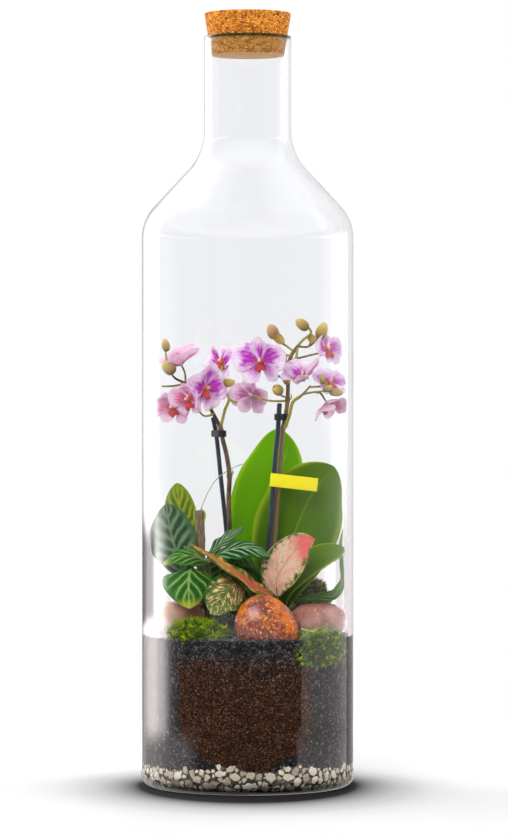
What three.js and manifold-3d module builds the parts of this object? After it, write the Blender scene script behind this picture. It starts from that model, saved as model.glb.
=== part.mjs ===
// A planted glass bottle: a tall clear bottle closed by a cork, holding gravel, soil, grit, moss,
// stones, a small moth orchid clipped to two stakes, and striped and speckled foliage plants.
//
// Millimetres, +Z up, +X to the right and -Y towards the viewer. The origin is the middle of the
// bottle's foot. Every piece is first made whole, then the pieces that come before it in the list,
// made GAP larger, are cut from it, so that no two pieces touch.

import * as THREE from 'three';
import { mergeVertices } from 'three/addons/utils/BufferGeometryUtils.js';
import Module from 'manifold-3d';

const wasm = await Module();
wasm.setup();

// ---------- Driving dimensions ----------

const GAP = 0.3;
const ROUND_SEGMENTS = 32;

const FOOT_RADIUS = 91;
const BODY_RADIUS = 90;
const WALL = 4;
const BASE_THICKNESS = 7;
const FOOT_ROUNDING = 10;
const PUNT_RADIUS = 64;
const PUNT_HEIGHT = 3;
const SHOULDER_Z = 466;
const SHOULDER_ROUNDING = 40;
const SHOULDER_SLOPE = THREE.MathUtils.degToRad(43);
const SHOULDER_SLANT = 42.4;
const NECK_ROUNDING = 50;
const NECK_WALL = 2.6;
const RIM_Z = 638;
const LIP_ROUNDING = 1.2;

const CORK_BOTTOM_Z = 621;
const CORK_TOP_Z = 657.5;
const CORK_BOTTOM_RADIUS = 30.8;
const CORK_RIM_RADIUS = 33.7;
const CORK_CHAMFER = 1;
const CORK_SEGMENTS = 24;

const FILL_RADIUS = 85.3;
const LEAF_REACH = 84.2;
const GRAVEL_FLOOR_Z = 7.4;
const GRAVEL_TOP_Z = 24;
const GRAVEL = { segments: 40, rimRadius: 62, cornerRounding: 10, chipInset: 3.2, chipDrop: 2.4 };
const GROUND_Z = 128.5;
const MOUND = { x: -4, y: 16, height: 25, radius: 42 };
const ROOT_Z = 118;

const ROOT_BALL = {
  x: -4, y: -40, radius: 58.5, footRadius: 50, taperZ: 48, topZ: 115, chamfer: 5.5, segments: 20,
};
const FILL_FLOOR_Z = GRAVEL_TOP_Z + 2 * GAP;
const FILL_RINGS = [58, 28];
const SWELL = { height: 0.8, x: 9, y: 7 };

const STAKE_RADIUS = { left: 1.9, right: 2.1 };
const CLIP_HEIGHT = 5.5;
const CLIP_WALL = 1.5;
const TAG = { at: [22.4, -8, 260.5], length: 37, height: 11.3, thickness: 1.2, loopRadius: 3.4, tilt: 6.5 };
const AERIAL_ROOT_RADIUS = 0.45;
const STALK = { radius: 1.2, tip: 0.7, runOn: 0.12 };
const PEDICEL_RADIUS = 0.9;
const BLOOM_CORE_RADIUS = 2.2;
const COLUMN_REACH = 3.6;
const TEPAL_ROOT = 1.3;
const EGG_FACETS = [5, 4];

// ---------- Finishes ----------

const FINISHES = {
  glass: { color: 0xe4eef0, roughness: 0.03, metalness: 0, transparent: true, opacity: 0.3 },
  cork: { color: 0xb98a5c, roughness: 0.9, metalness: 0 },
  pumice: { color: 0xcfc3b2, roughness: 0.95, metalness: 0 },
  soil: { color: 0x3b2012, roughness: 1, metalness: 0 },
  grit: { color: 0x232121, roughness: 0.85, metalness: 0 },
  moss: { color: 0x5d8a14, roughness: 1, metalness: 0 },
  rustStone: { color: 0x9a4d22, roughness: 0.25, metalness: 0 },
  copperStone: { color: 0xb07258, roughness: 0.3, metalness: 0 },
  orchidLeaf: { color: 0x4f9a12, roughness: 0.4, metalness: 0 },
  spike: { color: 0x5a4433, roughness: 0.6, metalness: 0 },
  petal: { color: 0xd07fd0, roughness: 0.6, metalness: 0 },
  stake: { color: 0x2a3340, roughness: 0.5, metalness: 0 },
  clip: { color: 0x1f232b, roughness: 0.5, metalness: 0 },
  tag: { color: 0xe6d80e, roughness: 0.5, metalness: 0 },
  dryRoot: { color: 0x8d8f8c, roughness: 0.8, metalness: 0 },
  stripedLeaf: { color: 0x2f5a34, roughness: 0.45, metalness: 0 },
  speckledLeaf: { color: 0xd98f80, roughness: 0.5, metalness: 0 },
};

// ---------- Solids ----------

/** A closed geometry as a solid: equal corners joined, empty triangles dropped, faces outwards. */
function solid(geometry) {
  const bare = new THREE.BufferGeometry();
  bare.setAttribute('position', geometry.getAttribute('position'));
  bare.setIndex(geometry.getIndex());
  const merged = mergeVertices(bare, 1e-4);
  const position = merged.getAttribute('position');
  const corners = merged.getIndex().array;
  const kept = [];
  let volume = 0;
  for (let i = 0; i < corners.length; i += 3) {
    const face = [corners[i], corners[i + 1], corners[i + 2]];
    if (new Set(face).size === 3) {
      const [a, b, c] = face.map((k) => new THREE.Vector3().fromBufferAttribute(position, k));
      volume += a.dot(b.cross(c));
      kept.push(face);
    }
  }
  const faces = volume < 0 ? kept.map(([a, b, c]) => [a, c, b]) : kept;
  return new wasm.Manifold(new wasm.Mesh({
    numProp: 3,
    vertProperties: Float32Array.from(position.array),
    triVerts: Uint32Array.from(faces.flat()),
  }));
}

/** Several solids grown together. */
function join(solids) {
  return solids.reduce((whole, piece) => whole.add(piece));
}

/** The largest of the separate lumps of a solid. */
function mainBody(body) {
  const lumps = body.decompose();
  return lumps.reduce((largest, lump) => (lump.volume() > largest.volume() ? lump : largest));
}

function boxesMeet(a, b) {
  const [p, q] = [a.boundingBox(), b.boundingBox()];
  return [0, 1, 2].every((k) => p.min[k] <= q.max[k] && q.min[k] <= p.max[k]);
}

/** Geometry of a solid, measured from the piece's own origin. */
function geometryOf(body, origin) {
  const mesh = body.getMesh();
  const geometry = new THREE.BufferGeometry();
  geometry.setAttribute('position', new THREE.BufferAttribute(mesh.vertProperties, 3));
  geometry.setIndex(new THREE.BufferAttribute(mesh.triVerts, 1));
  return geometry.translate(-origin.x, -origin.y, -origin.z);
}

const vector = ([x, y, z]) => new THREE.Vector3(x, y, z);
const curveThrough = (path) => new THREE.CatmullRomCurve3(path.map(vector));

/** Turned solid: a profile of [radius, z] pairs from the axis back to the axis. */
function turned(profile, segments = ROUND_SEGMENTS) {
  const outline = profile.map(([radius, z]) => new THREE.Vector2(radius, z));
  return new THREE.LatheGeometry(outline, segments).rotateX(Math.PI / 2);
}

/** Points of an arc in a profile, from one angle to another. */
function arc([radius, z], bend, from, to, steps) {
  return Array.from({ length: steps + 1 }, (_, i) => {
    const angle = from + ((to - from) * i) / steps;
    return [radius + bend * Math.cos(angle), z + bend * Math.sin(angle)];
  });
}

/** Round stem along a path, tapering from one radius to another. */
function tube({ path, radius, tip = radius, sides = 6, steps = path.length + 1 }, gap = 0) {
  const curve = curveThrough(path);
  const section = new THREE.Shape(Array.from({ length: sides }, (_, i) => {
    const angle = (2 * Math.PI * i) / sides;
    return new THREE.Vector2(Math.cos(angle), Math.sin(angle));
  }));
  const geometry = new THREE.ExtrudeGeometry(section, { steps, extrudePath: curve });
  const centres = curve.getSpacedPoints(steps);
  const position = geometry.getAttribute('position');
  for (let i = 0; i < position.count; i += 1) {
    const corner = new THREE.Vector3().fromBufferAttribute(position, i);
    const distances = centres.map((centre) => centre.distanceToSquared(corner));
    const nearest = distances.indexOf(Math.min(...distances));
    const size = THREE.MathUtils.lerp(radius, tip, nearest / steps) + gap;
    corner.sub(centres[nearest]).multiplyScalar(size).add(centres[nearest]);
    position.setXYZ(i, corner.x, corner.y, corner.z);
  }
  return solid(geometry);
}

/** Egg shape with its long axis along a direction: size is [across, along]. */
function egg({ at, axis, size, facets = EGG_FACETS }, gap = 0) {
  const [across, along] = size;
  const turn = new THREE.Quaternion().setFromUnitVectors(vector([0, 1, 0]), vector(axis).normalize());
  const scale = new THREE.Vector3(across + gap, along + gap, across + gap);
  const geometry = new THREE.SphereGeometry(1, ...facets);
  return solid(geometry.applyMatrix4(new THREE.Matrix4().compose(vector(at), turn, scale)));
}

/** Keeps a point of a leaf inside the glass. */
function pressInside(point) {
  const reach = Math.hypot(point.x, point.y);
  if (reach > LEAF_REACH) {
    point.x *= LEAF_REACH / reach;
    point.y *= LEAF_REACH / reach;
  }
  return point;
}

/** Place of a row along a blade: the rows lie closer towards both ends. */
function rowPlace(share) {
  return THREE.MathUtils.clamp(0.5 - 0.5 * Math.cos(Math.PI * share), 0, 1);
}

/** Grid corners round the edge of a blade, in the order of its upper faces. */
function bladeBorder(across, along) {
  const at = (column, row) => row * (across + 1) + column;
  const loop = [];
  for (let row = 0; row < along; row += 1) loop.push(at(0, row));
  for (let column = 0; column < across; column += 1) loop.push(at(column, along));
  for (let row = along; row > 0; row -= 1) loop.push(at(across, row));
  for (let column = across; column > 0; column -= 1) loop.push(at(column, 0));
  return loop;
}

/**
 * Blade of a leaf or petal: a flat grid laid along its rib and given a thickness.
 * side: direction across the blade at its base and at its tip. width: greatest half width, at the
 * share `widest` of the length. full: below 1 rounds the ends, above 1 points them. foot: half
 * width at the base. fold: rise of the edges against the rib. wave: height of the edge's waves.
 */
function blade(shape, gap = 0) {
  const { rib, side, width, widest = 0.5, full = 0.7, foot = 1, fold = 0, wave = 0, waves = 3 } = shape;
  const { thickness = 0.9, across = 4, along = 6 } = shape;
  const curve = curveThrough(rib);
  const [sideBase, sideTip] = [vector(side[0]), vector(side[side.length - 1])];
  const shift = Math.log(0.5) / Math.log(widest);
  const grid = new THREE.PlaneGeometry(2, 1, across, along);
  const middle = grid.getAttribute('position');
  for (let i = 0; i < middle.count; i += 1) {
    const u = middle.getX(i);
    const t = rowPlace(0.5 - middle.getY(i));
    const ahead = curve.getTangentAt(t);
    const sideways = sideBase.clone().lerp(sideTip, t);
    sideways.addScaledVector(ahead, -sideways.dot(ahead)).normalize();
    const upper = sideways.clone().cross(ahead);
    const half = Math.max(width * Math.sin(Math.PI * t ** shift) ** full, foot * (1 - t), 0.5) + gap;
    const ripple = wave * Math.sin(Math.PI * t) * Math.sin(2 * Math.PI * waves * t + (u > 0 ? 1 : 0));
    const ending = t === 0 ? -gap : Number(t === 1) * gap;
    const point = curve.getPointAt(t)
      .addScaledVector(sideways, u * half)
      .addScaledVector(upper, Math.abs(u) ** 1.5 * fold * half + u * u * ripple)
      .addScaledVector(ahead, ending);
    pressInside(point);
    middle.setXYZ(i, point.x, point.y, point.z);
  }
  grid.computeVertexNormals();
  const normal = grid.getAttribute('normal');
  const corners = [];
  for (const face of [0.5, -0.5]) {
    for (let i = 0; i < middle.count; i += 1) {
      const offset = new THREE.Vector3().fromBufferAttribute(normal, i);
      offset.multiplyScalar(face * thickness + Math.sign(face) * gap);
      corners.push(middle.getX(i) + offset.x, middle.getY(i) + offset.y, middle.getZ(i) + offset.z);
    }
  }
  const upperFaces = Array.from(grid.getIndex().array);
  const faces = [...upperFaces];
  for (let i = 0; i < upperFaces.length; i += 3) {
    const [a, b, c] = upperFaces.slice(i, i + 3).map((k) => k + middle.count);
    faces.push(a, c, b);
  }
  const loop = bladeBorder(across, along);
  loop.forEach((i, place) => {
    const j = loop[(place + 1) % loop.length];
    faces.push(j, i, i + middle.count, j, i + middle.count, j + middle.count);
  });
  const geometry = new THREE.BufferGeometry();
  geometry.setAttribute('position', new THREE.Float32BufferAttribute(corners, 3));
  geometry.setIndex(faces);
  return solid(geometry);
}

/** Leaf with its stalk, which runs on under the blade as the rib. */
function leaf({ stalk, ...shape }, gap = 0) {
  const runOn = curveThrough(shape.rib).getPointAt(STALK.runOn).toArray();
  const path = [...stalk, shape.rib[0], runOn];
  const stem = { path, radius: STALK.radius, tip: STALK.tip, sides: 4, steps: path.length };
  return blade(shape, gap).add(tube(stem, gap));
}

// ---------- Bottle and cork ----------

/** Outer side of the bottle from the foot to the lip. */
function outerProfile() {
  const corner = arc([FOOT_RADIUS - FOOT_ROUNDING, FOOT_ROUNDING], FOOT_ROUNDING, -Math.PI / 2, 0, 3);
  const turnIn = [BODY_RADIUS - SHOULDER_ROUNDING, SHOULDER_Z];
  const shoulder = arc(turnIn, SHOULDER_ROUNDING, 0, SHOULDER_SLOPE, 4);
  const [slopeRadius, slopeZ] = shoulder[shoulder.length - 1];
  const reach = NECK_ROUNDING * Math.cos(SHOULDER_SLOPE) - SHOULDER_SLANT * Math.sin(SHOULDER_SLOPE);
  const rise = NECK_ROUNDING * Math.sin(SHOULDER_SLOPE) + SHOULDER_SLANT * Math.cos(SHOULDER_SLOPE);
  const turnOut = [slopeRadius + reach, slopeZ + rise];
  const neck = arc(turnOut, NECK_ROUNDING, Math.PI + SHOULDER_SLOPE, Math.PI, 4);
  return { corner, shoulder, neck, turnIn, turnOut, neckRadius: turnOut[0] - NECK_ROUNDING };
}

function bottle(gap = 0) {
  const { corner, shoulder, neck, turnIn, turnOut, neckRadius } = outerProfile();
  const innerBody = BODY_RADIUS - WALL - gap;
  const innerCorner = arc([innerBody - FOOT_ROUNDING, BASE_THICKNESS + FOOT_ROUNDING], FOOT_ROUNDING,
    0, -Math.PI / 2, 3);
  const innerShoulder = arc(turnIn, SHOULDER_ROUNDING - WALL - gap, SHOULDER_SLOPE, 0, 3);
  const innerNeck = arc(turnOut, NECK_ROUNDING + NECK_WALL + gap, Math.PI, Math.PI + SHOULDER_SLOPE, 3);
  const innerRadius = neckRadius - NECK_WALL - gap;
  return solid(turned([
    [0, PUNT_HEIGHT],
    [PUNT_RADIUS, 0],
    ...corner,
    ...shoulder,
    ...neck,
    [neckRadius, RIM_Z - LIP_ROUNDING],
    [(neckRadius + innerRadius) / 2, RIM_Z + gap],
    [innerRadius, RIM_Z - LIP_ROUNDING],
    ...innerNeck,
    ...innerShoulder,
    ...innerCorner,
    [0, BASE_THICKNESS + gap],
  ]));
}

function cork() {
  const slope = (CORK_RIM_RADIUS - CORK_BOTTOM_RADIUS) / (RIM_Z - CORK_BOTTOM_Z);
  const topRadius = CORK_BOTTOM_RADIUS + slope * (CORK_TOP_Z - CORK_BOTTOM_Z);
  return solid(turned([
    [0, CORK_BOTTOM_Z],
    [CORK_BOTTOM_RADIUS - CORK_CHAMFER, CORK_BOTTOM_Z],
    [CORK_BOTTOM_RADIUS, CORK_BOTTOM_Z + CORK_CHAMFER],
    [topRadius, CORK_TOP_Z - CORK_CHAMFER],
    [topRadius - CORK_CHAMFER, CORK_TOP_Z],
    [0, CORK_TOP_Z],
  ], CORK_SEGMENTS));
}

// ---------- Layers ----------

/** Height of the grit: a mound round the plants, with small waves. */
function groundHeight(x, y) {
  const away = Math.hypot(x - MOUND.x, y - MOUND.y) / MOUND.radius;
  const swell = SWELL.height * Math.sin(x / SWELL.x) * Math.cos(y / SWELL.y);
  return GROUND_Z + MOUND.height * Math.exp(-away * away) + swell;
}

/** Irregular value from 0 to 1 for a chip of the drainage layer. */
function chipBump(column, row) {
  return Math.abs(Math.sin(column * 12.9898 + row * 4.1414) * 43758.5453) % 1;
}

/** Drainage layer, its chips raised from its wall and top. */
function gravel(gap = 0) {
  const { segments, rimRadius, cornerRounding, chipInset, chipDrop } = GRAVEL;
  const wall = [0, 0.5, 1].map((share) => {
    const z = THREE.MathUtils.lerp(GRAVEL_FLOOR_Z, GRAVEL_TOP_Z, share);
    const below = Math.max(0, 1 - (z - GRAVEL_FLOOR_Z) / cornerRounding);
    return [FILL_RADIUS - cornerRounding * below ** 2, z];
  });
  const profile = [[0, GRAVEL_FLOOR_Z], ...wall, [rimRadius, GRAVEL_TOP_Z], [0, GRAVEL_TOP_Z]];
  const geometry = turned(profile, segments);
  const position = geometry.getAttribute('position');
  for (let i = 0; i < position.count; i += 1) {
    const [x, y, z] = [position.getX(i), position.getY(i), position.getZ(i)];
    const reach = Math.hypot(x, y);
    const chip = Math.round((Math.atan2(x, -y) * segments) / (2 * Math.PI));
    const bump = reach > 1 ? chipBump(chip, Math.round(z)) : 0;
    const scale = reach > 1 ? (reach - chipInset * bump + gap) / reach : 1;
    const height = z > GRAVEL_TOP_Z - 1 ? z - chipDrop * bump + gap : z - gap;
    position.setXYZ(i, x * scale, y * scale, height);
  }
  return solid(geometry);
}

/** Root ball: an upright plug of soil against the front of the glass. */
function rootBall(gap = 0) {
  const { x, y, radius, footRadius, taperZ, topZ, chamfer, segments } = ROOT_BALL;
  const plug = solid(turned([
    [0, FILL_FLOOR_Z - gap],
    [footRadius + gap, FILL_FLOOR_Z - gap],
    [radius + gap, taperZ],
    [radius + gap, topZ - chamfer],
    [radius - chamfer + gap, topZ + gap],
    [0, topZ + gap],
  ], segments).translate(x, y, 0));
  return gap > 0 ? plug : plug.intersect(fill());
}

/** Everything between the gravel and the top of the grit. */
function fill() {
  const geometry = turned([
    [0, FILL_FLOOR_Z],
    [FILL_RADIUS, FILL_FLOOR_Z],
    [FILL_RADIUS, GROUND_Z],
    ...FILL_RINGS.map((radius) => [radius, GROUND_Z]),
    [0, GROUND_Z],
  ]);
  const position = geometry.getAttribute('position');
  for (let i = 0; i < position.count; i += 1) {
    if (position.getZ(i) > FILL_FLOOR_Z + 1) {
      position.setZ(i, groundHeight(position.getX(i), position.getY(i)));
    }
  }
  return solid(geometry);
}

/** Ellipsoid with a bumpy or squared-off surface: half sizes [x, y, z]. */
function lump({ at, half, turn = 0, lumps = 0, peak = 0, columns = 11, rows = 6 }, gap = 0) {
  const geometry = new THREE.SphereGeometry(1, columns, rows).rotateX(Math.PI / 2);
  const position = geometry.getAttribute('position');
  for (let i = 0; i < position.count; i += 1) {
    const point = new THREE.Vector3().fromBufferAttribute(position, i);
    const bump = 1 + lumps * Math.sin(7 * point.x + 2) * Math.sin(8 * point.y) * Math.cos(5 * point.z);
    const lean = 1 - peak * point.z;
    point.multiplyScalar(bump);
    point.x = point.x * lean - 0.5 * peak * point.z;
    point.y *= lean;
    position.setXYZ(i, point.x * (half[0] + gap), point.y * (half[1] + gap), point.z * (half[2] + gap));
  }
  return solid(geometry.rotateZ(turn).translate(...at));
}

/** Cushion of moss, kept inside the glass. Grown by a gap it reaches past the side of the grit. */
function moss(shape, gap = 0) {
  const reach = FILL_RADIUS - GAP + 4 * gap;
  const room = solid(turned([[0, 0], [reach, 0], [reach, SHOULDER_Z], [0, SHOULDER_Z]]));
  return lump({ ...shape, lumps: 0.12, columns: 10 }, gap).intersect(room);
}

const STONES = {
  stone_front: {
    finish: 'rustStone',
    shape: { at: [15.3, -56, 145.8], half: [24.5, 23, 20], peak: 0.16 },
  },
  stone_left: {
    finish: 'copperStone',
    shape: { at: [-57, -25, 144.5], half: [21, 15, 14.5], turn: 0.15 },
  },
  stone_right: {
    finish: 'copperStone',
    shape: { at: [60, -12, 142.5], half: [22.5, 18, 13.5], turn: -0.1 },
  },
};

const MOSSES = {
  moss_front_left: { at: [-42, -56, 132], half: [26, 17, 12.5], turn: -0.35 },
  moss_front_right: { at: [61, -52, 119], half: [31, 10, 17.5], turn: 0.88 },
  moss_back_right: { at: [55, 28, 150], half: [16, 16, 25] },
};

// ---------- Orchid ----------

const CROWN = { path: [[22, 2, ROOT_Z], [22, 2, 138], [22, 3, 158]], radius: 9, tip: 11, steps: 2 };

const ORCHID_LEAVES = {
  orchid_leaf_1: {
    rib: [[19, 5, 144], [9, 11, 168], [7, 16, 201], [15, 25, 242], [23.5, 26, 275], [26, 20, 303.5]],
    side: [[1, 0.15, 0]],
    width: 30,
    widest: 0.62,
    foot: 8,
    fold: 0.12,
  },
  orchid_leaf_2: {
    rib: [[27, 3, 144], [28, 4, 170], [34, 6, 195], [43, 12, 222], [56, 14, 249], [74, 8, 271.5]],
    side: [[1, 0, -0.2], [0.9, 0, -0.5]],
    width: 37,
    widest: 0.58,
    foot: 8,
    fold: 0.1,
  },
  orchid_leaf_3: {
    rib: [[29, 0, 144], [34, -7, 166], [44, -10, 180], [61, -10, 194], [82, -4, 202.5]],
    side: [[0.4, -0.75, -0.5]],
    width: 15,
    widest: 0.68,
    foot: 7,
    fold: 0.15,
  },
};

/** Thick, smooth, round-ended orchid leaf. */
function orchidLeaf(shape, gap = 0) {
  return blade({ ...shape, full: 0.55, thickness: 1.8 }, gap);
}

// Each bloom: its centre, the way it looks, its reach, and how far its tepals bend forward.
const BLOOMS = {
  bloom_left_1: { at: [-57, 6, 359], faces: [-0.35, -0.3, 0.9], reach: 19, cup: 0.6 },
  bloom_left_2: { at: [-37, -14, 338], faces: [0.75, -0.6, -0.1], reach: 23.5, cup: 0.15 },
  bloom_left_3: { at: [-48, -46, 330], faces: [-0.6, -0.7, -0.35], reach: 15, cup: 0.4 },
  bloom_left_4: { at: [-63, -12, 324], faces: [-0.3, -0.75, -0.5], reach: 17, cup: 0.45 },
  bloom_left_5: { at: [-21, 24, 360], faces: [-0.75, -0.6, 0.2], reach: 17, cup: 0.2 },
  bloom_right_1: { at: [11, -22, 361.5], faces: [-0.3, -0.9, -0.2], reach: 22, cup: 0.1 },
  bloom_right_2: { at: [3, -4, 332], faces: [-0.35, 0.8, -0.35], reach: 17, cup: 0.3 },
  bloom_right_3: { at: [67, 10, 370], faces: [0.6, -0.6, 0.35], reach: 16, cup: 0.35 },
  bloom_right_4: { at: [47, -22, 346], faces: [-0.35, -0.4, 0.85], reach: 18, cup: 0.8 },
  bloom_right_5: { at: [70, 2, 342], faces: [0.3, -0.7, 0.5], reach: 16, cup: 0.25 },
  bloom_right_6: { at: [67, -8, 326], faces: [0.4, -0.45, -0.8], reach: 16, cup: 0.5 },
};

// Tepals round a bloom: angle from the top, share of the reach, half width as a share of the reach.
const TEPALS = [
  { angle: 0, length: 0.95, half: 0.3, ahead: -0.8, along: 2 },
  { angle: 75, length: 1, half: 0.46, ahead: 0.8, along: 3 },
  { angle: -75, length: 1, half: 0.46, ahead: 0.8, along: 3 },
  { angle: 142, length: 0.92, half: 0.3, ahead: -0.8, along: 2 },
  { angle: -142, length: 0.92, half: 0.3, ahead: -0.8, along: 2 },
];

/** Basis of a bloom: right, up and forward. */
function bloomBasis(faces) {
  const forward = vector(faces).normalize();
  const right = vector([0, 0, 1]).cross(forward).normalize();
  const up = forward.clone().cross(right);
  return { right, up, forward };
}

/** Three sepals, two broad petals, the lip below and the short column in the middle. */
function bloom({ at, faces, reach, cup }, gap = 0) {
  const { right, up, forward } = bloomBasis(faces);
  const place = (across, high, ahead) => vector(at).addScaledVector(right, across)
    .addScaledVector(up, high).addScaledVector(forward, ahead);
  const parts = TEPALS.map(({ angle, length, half, ahead, along }) => {
    const turn = THREE.MathUtils.degToRad(angle);
    const [across, high] = [Math.sin(turn), Math.cos(turn)];
    const at0 = (share) => [across * share * length * reach, high * share * length * reach];
    return blade({
      rib: [[TEPAL_ROOT / reach, 0], [0.55, 0.45], [1, 1]].map(([share, bend]) => (
        place(...at0(share), ahead + bend * cup * reach * 0.8).toArray())),
      side: [right.clone().multiplyScalar(high).addScaledVector(up, -across).toArray()],
      width: half * reach,
      widest: 0.58,
      full: 0.75,
      foot: 0.6,
      fold: 0.12,
      thickness: 0.8,
      across: 2,
      along,
    }, gap);
  });
  const lip = blade({
    rib: [place(0, 0, 0.5), place(0, -2.5, 5), place(0, -6.5, 7.5), place(0, -8, 5)].map((p) => p.toArray()),
    side: [right.toArray()],
    width: 4.2,
    full: 0.7,
    foot: 1,
    fold: 0.9,
    thickness: 0.8,
    across: 2,
    along: 2,
  }, gap);
  const column = egg({
    at: place(0, 0.4, 1.4).toArray(),
    axis: faces,
    size: [BLOOM_CORE_RADIUS, COLUMN_REACH],
    facets: [5, 3],
  }, gap);
  return join([column, ...parts, lip]);
}

/** Point inside the back of a bloom, where its pedicel ends. */
function backOf(name) {
  const { at, faces } = BLOOMS[name];
  return vector(at).addScaledVector(vector(faces).normalize(), -BLOOM_CORE_RADIUS * 0.6).toArray();
}

/** Pedicel from the stem to a bloom. */
const pedicel = (name, from, bend) => ({
  path: [from, bend, backOf(name)], radius: PEDICEL_RADIUS, sides: 3, steps: 3,
});
/** Side branch of a flower stem. */
const branch = (radius, ...path) => ({ path, radius, sides: 4 });
/** Pedicel to a bud. */
const budStalk = (...path) => ({ path, radius: PEDICEL_RADIUS, sides: 3, steps: path.length - 1 });

const SPIKES = {
  flower_spike_right: {
    stems: [
      {
        path: [[19, 0, 136], [18, -2, 153], [20, -2, 179], [22.5, -2, 209], [25, -2, 243], [28.4, -2, 281.5],
          [30, -2, 303], [33.5, -2, 324], [34.3, -2, 341], [34.3, -2, 356], [38, -1, 368], [43, 0, 374.5]],
        radius: 2.5,
        tip: 1.6,
        steps: 12,
      },
      branch(1.2, [42, 0, 373.5], [47, 1, 379.5], [54, 2, 385.5], [52, 3, 390], [48, 4, 392]),
      branch(1.3, [34.2, -2, 347], [38, -6, 356], [41, -5, 363], [42.5, 0, 374]),
      branch(1.6, [30.5, -2, 303], [35, -8, 314], [38.5, -12, 327], [44.5, -14, 331.5]),
      budStalk([43.5, -14, 331], [48, -16, 333.6], [66, -20, 336], [73, -21, 335]),
      budStalk([43.5, -14, 331], [48, -16, 335], [53, -16, 340.5]),
      pedicel('bloom_right_1', [34, -2, 345], [26, -14, 349]),
      pedicel('bloom_right_2', [33, -2, 327.5], [18, -9, 328]),
      pedicel('bloom_right_3', [36, -2, 362], [51, 4, 366]),
      pedicel('bloom_right_4', [41, -5, 363], [49, -14, 349]),
      pedicel('bloom_right_5', [52, -16, 339.5], [62, -4, 340]),
      pedicel('bloom_right_6', [58, -18.5, 335], [62, -10, 334]),
      budStalk([39, -1, 370], [31, 0, 376], [24, 1, 382]),
      budStalk([32, 0, 375], [29, -3, 377], [27, -5, 380]),
      budStalk([37.5, -1, 366], [30, -6, 367], [22, -10, 368.5]),
      budStalk([43, 0, 374], [52, 3, 374], [61, 5, 382]),
      budStalk([52, 3, 374], [55, 2, 380]),
      budStalk([34, -2, 341], [33.5, -6, 343], [33, -8, 344.5]),
      budStalk([34, -2, 331], [29, -8, 332], [26, -12, 336]),
      budStalk([66, -20, 336], [66, -20, 341], [63, -20, 345]),
    ],
    buds: [
      { at: [21.2, 3, 386.5], axis: [-0.4, 0, 0.9], size: [5.2, 6.6] },
      { at: [26.8, -5, 380.5], axis: [0.7, 0, -0.7], size: [4, 5.5] },
      { at: [21, -10, 368.8], axis: [-0.9, 0, 0.2], size: [5.2, 5.8] },
      { at: [46.4, 4, 392.6], axis: [-0.75, 0, 0.6], size: [4.6, 6.6] },
      { at: [63.5, 6, 387], axis: [0.35, 0, 0.95], size: [5, 7.8] },
      { at: [55, 2, 380.6], axis: [0.6, 0, -0.8], size: [3.4, 4] },
      { at: [33, -9, 345], axis: [0.1, -0.9, 0.4], size: [3.2, 4.4] },
      { at: [25.4, -12, 337], axis: [-0.6, -0.4, 0.6], size: [4.6, 5.2] },
      { at: [74, -21.5, 335], axis: [1, 0, -0.1], size: [3.4, 5.8] },
      { at: [67.3, -21, 338.4], axis: [0.8, 0, 0.4], size: [2.8, 4] },
      { at: [62.6, -20, 346], axis: [-0.1, 0, 1], size: [2.4, 4.2] },
    ],
  },
  flower_spike_left: {
    stems: [
      {
        path: [[13, 3, 138], [1, 5, 142], [-11, 6, 158], [-15, 4, 192], [-15.5, 3, 219], [-16.3, 1, 243],
          [-15.6, 0, 264.5], [-18, -2, 281.5], [-21.5, -3, 296], [-23.2, -4, 307]],
        radius: 2.3,
        tip: 1.9,
        steps: 12,
      },
      {
        path: [[-23, -4, 305], [-29, -2, 316], [-35.6, 2, 327.5], [-43.3, 6, 338.6], [-53.5, 6, 343],
          [-62, 2, 347], [-66.5, -2, 353]],
        radius: 1.7,
        tip: 0.9,
        sides: 5,
        steps: 8,
      },
      branch(1.4, [-23, -4, 305], [-19.3, -2, 320], [-16, 0, 330], [-21, 2, 337], [-24.5, 3, 346]),
      budStalk([-53, 6, 343], [-62, 2, 340.5], [-73, -2, 340]),
      budStalk([-64, 0, 349], [-69, -1, 362], [-70.2, 0, 371]),
      budStalk([-21, 2, 337], [-19, 2, 341], [-17, 2, 343]),
      budStalk([-16, 0, 329], [-10, -2, 326.6], [-4, -1, 328]),
      pedicel('bloom_left_1', [-53, 6, 343], [-54, 8, 352]),
      pedicel('bloom_left_2', [-38, 4, 332], [-45, -6, 338]),
      pedicel('bloom_left_3', [-29, -2, 316], [-38, -26, 316]),
      pedicel('bloom_left_4', [-47, 6, 340], [-58, 2, 334]),
      pedicel('bloom_left_5', [-24, 3, 345], [-22, 16, 356]),
    ],
    buds: [
      { at: [-70, 0, 375], axis: [-0.2, 0, 1], size: [3.6, 5.6] },
      { at: [-67.3, -4, 356], axis: [-0.6, 0, 0.7], size: [5.6, 7] },
      { at: [-16.5, 2, 343.2], axis: [0.9, 0, 0.15], size: [3.8, 5.4] },
      { at: [-24.6, 3, 348], axis: [-0.3, 0, 0.9], size: [2.6, 3.2] },
    ],
  },
};

/** Flower stem with its branches, pedicels and buds. */
function spike({ stems, buds }, gap = 0) {
  return join([...stems.map((stem) => tube(stem, gap)), ...buds.map((bud) => egg(bud, gap))]);
}

const STUB = [[-36, -8, ROOT_Z], [-37, -11, 150], [-39.5, -20, 190], [-40.4, -22, 234]];

/** Stump of an old flower stem with a pointed bract at its top. */
function cutStub(gap = 0) {
  const stem = tube({ path: STUB, radius: 4.2, tip: 3.9, sides: 6, steps: 4 }, gap);
  const bract = blade({
    rib: [[-43, -23, 221], [-44.5, -24, 230], [-43, -24, 239]],
    side: [[0.3, -0.9, 0]],
    width: 4,
    foot: 3,
    fold: -0.3,
    across: 2,
    along: 3,
  }, gap);
  return stem.add(bract);
}

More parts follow.
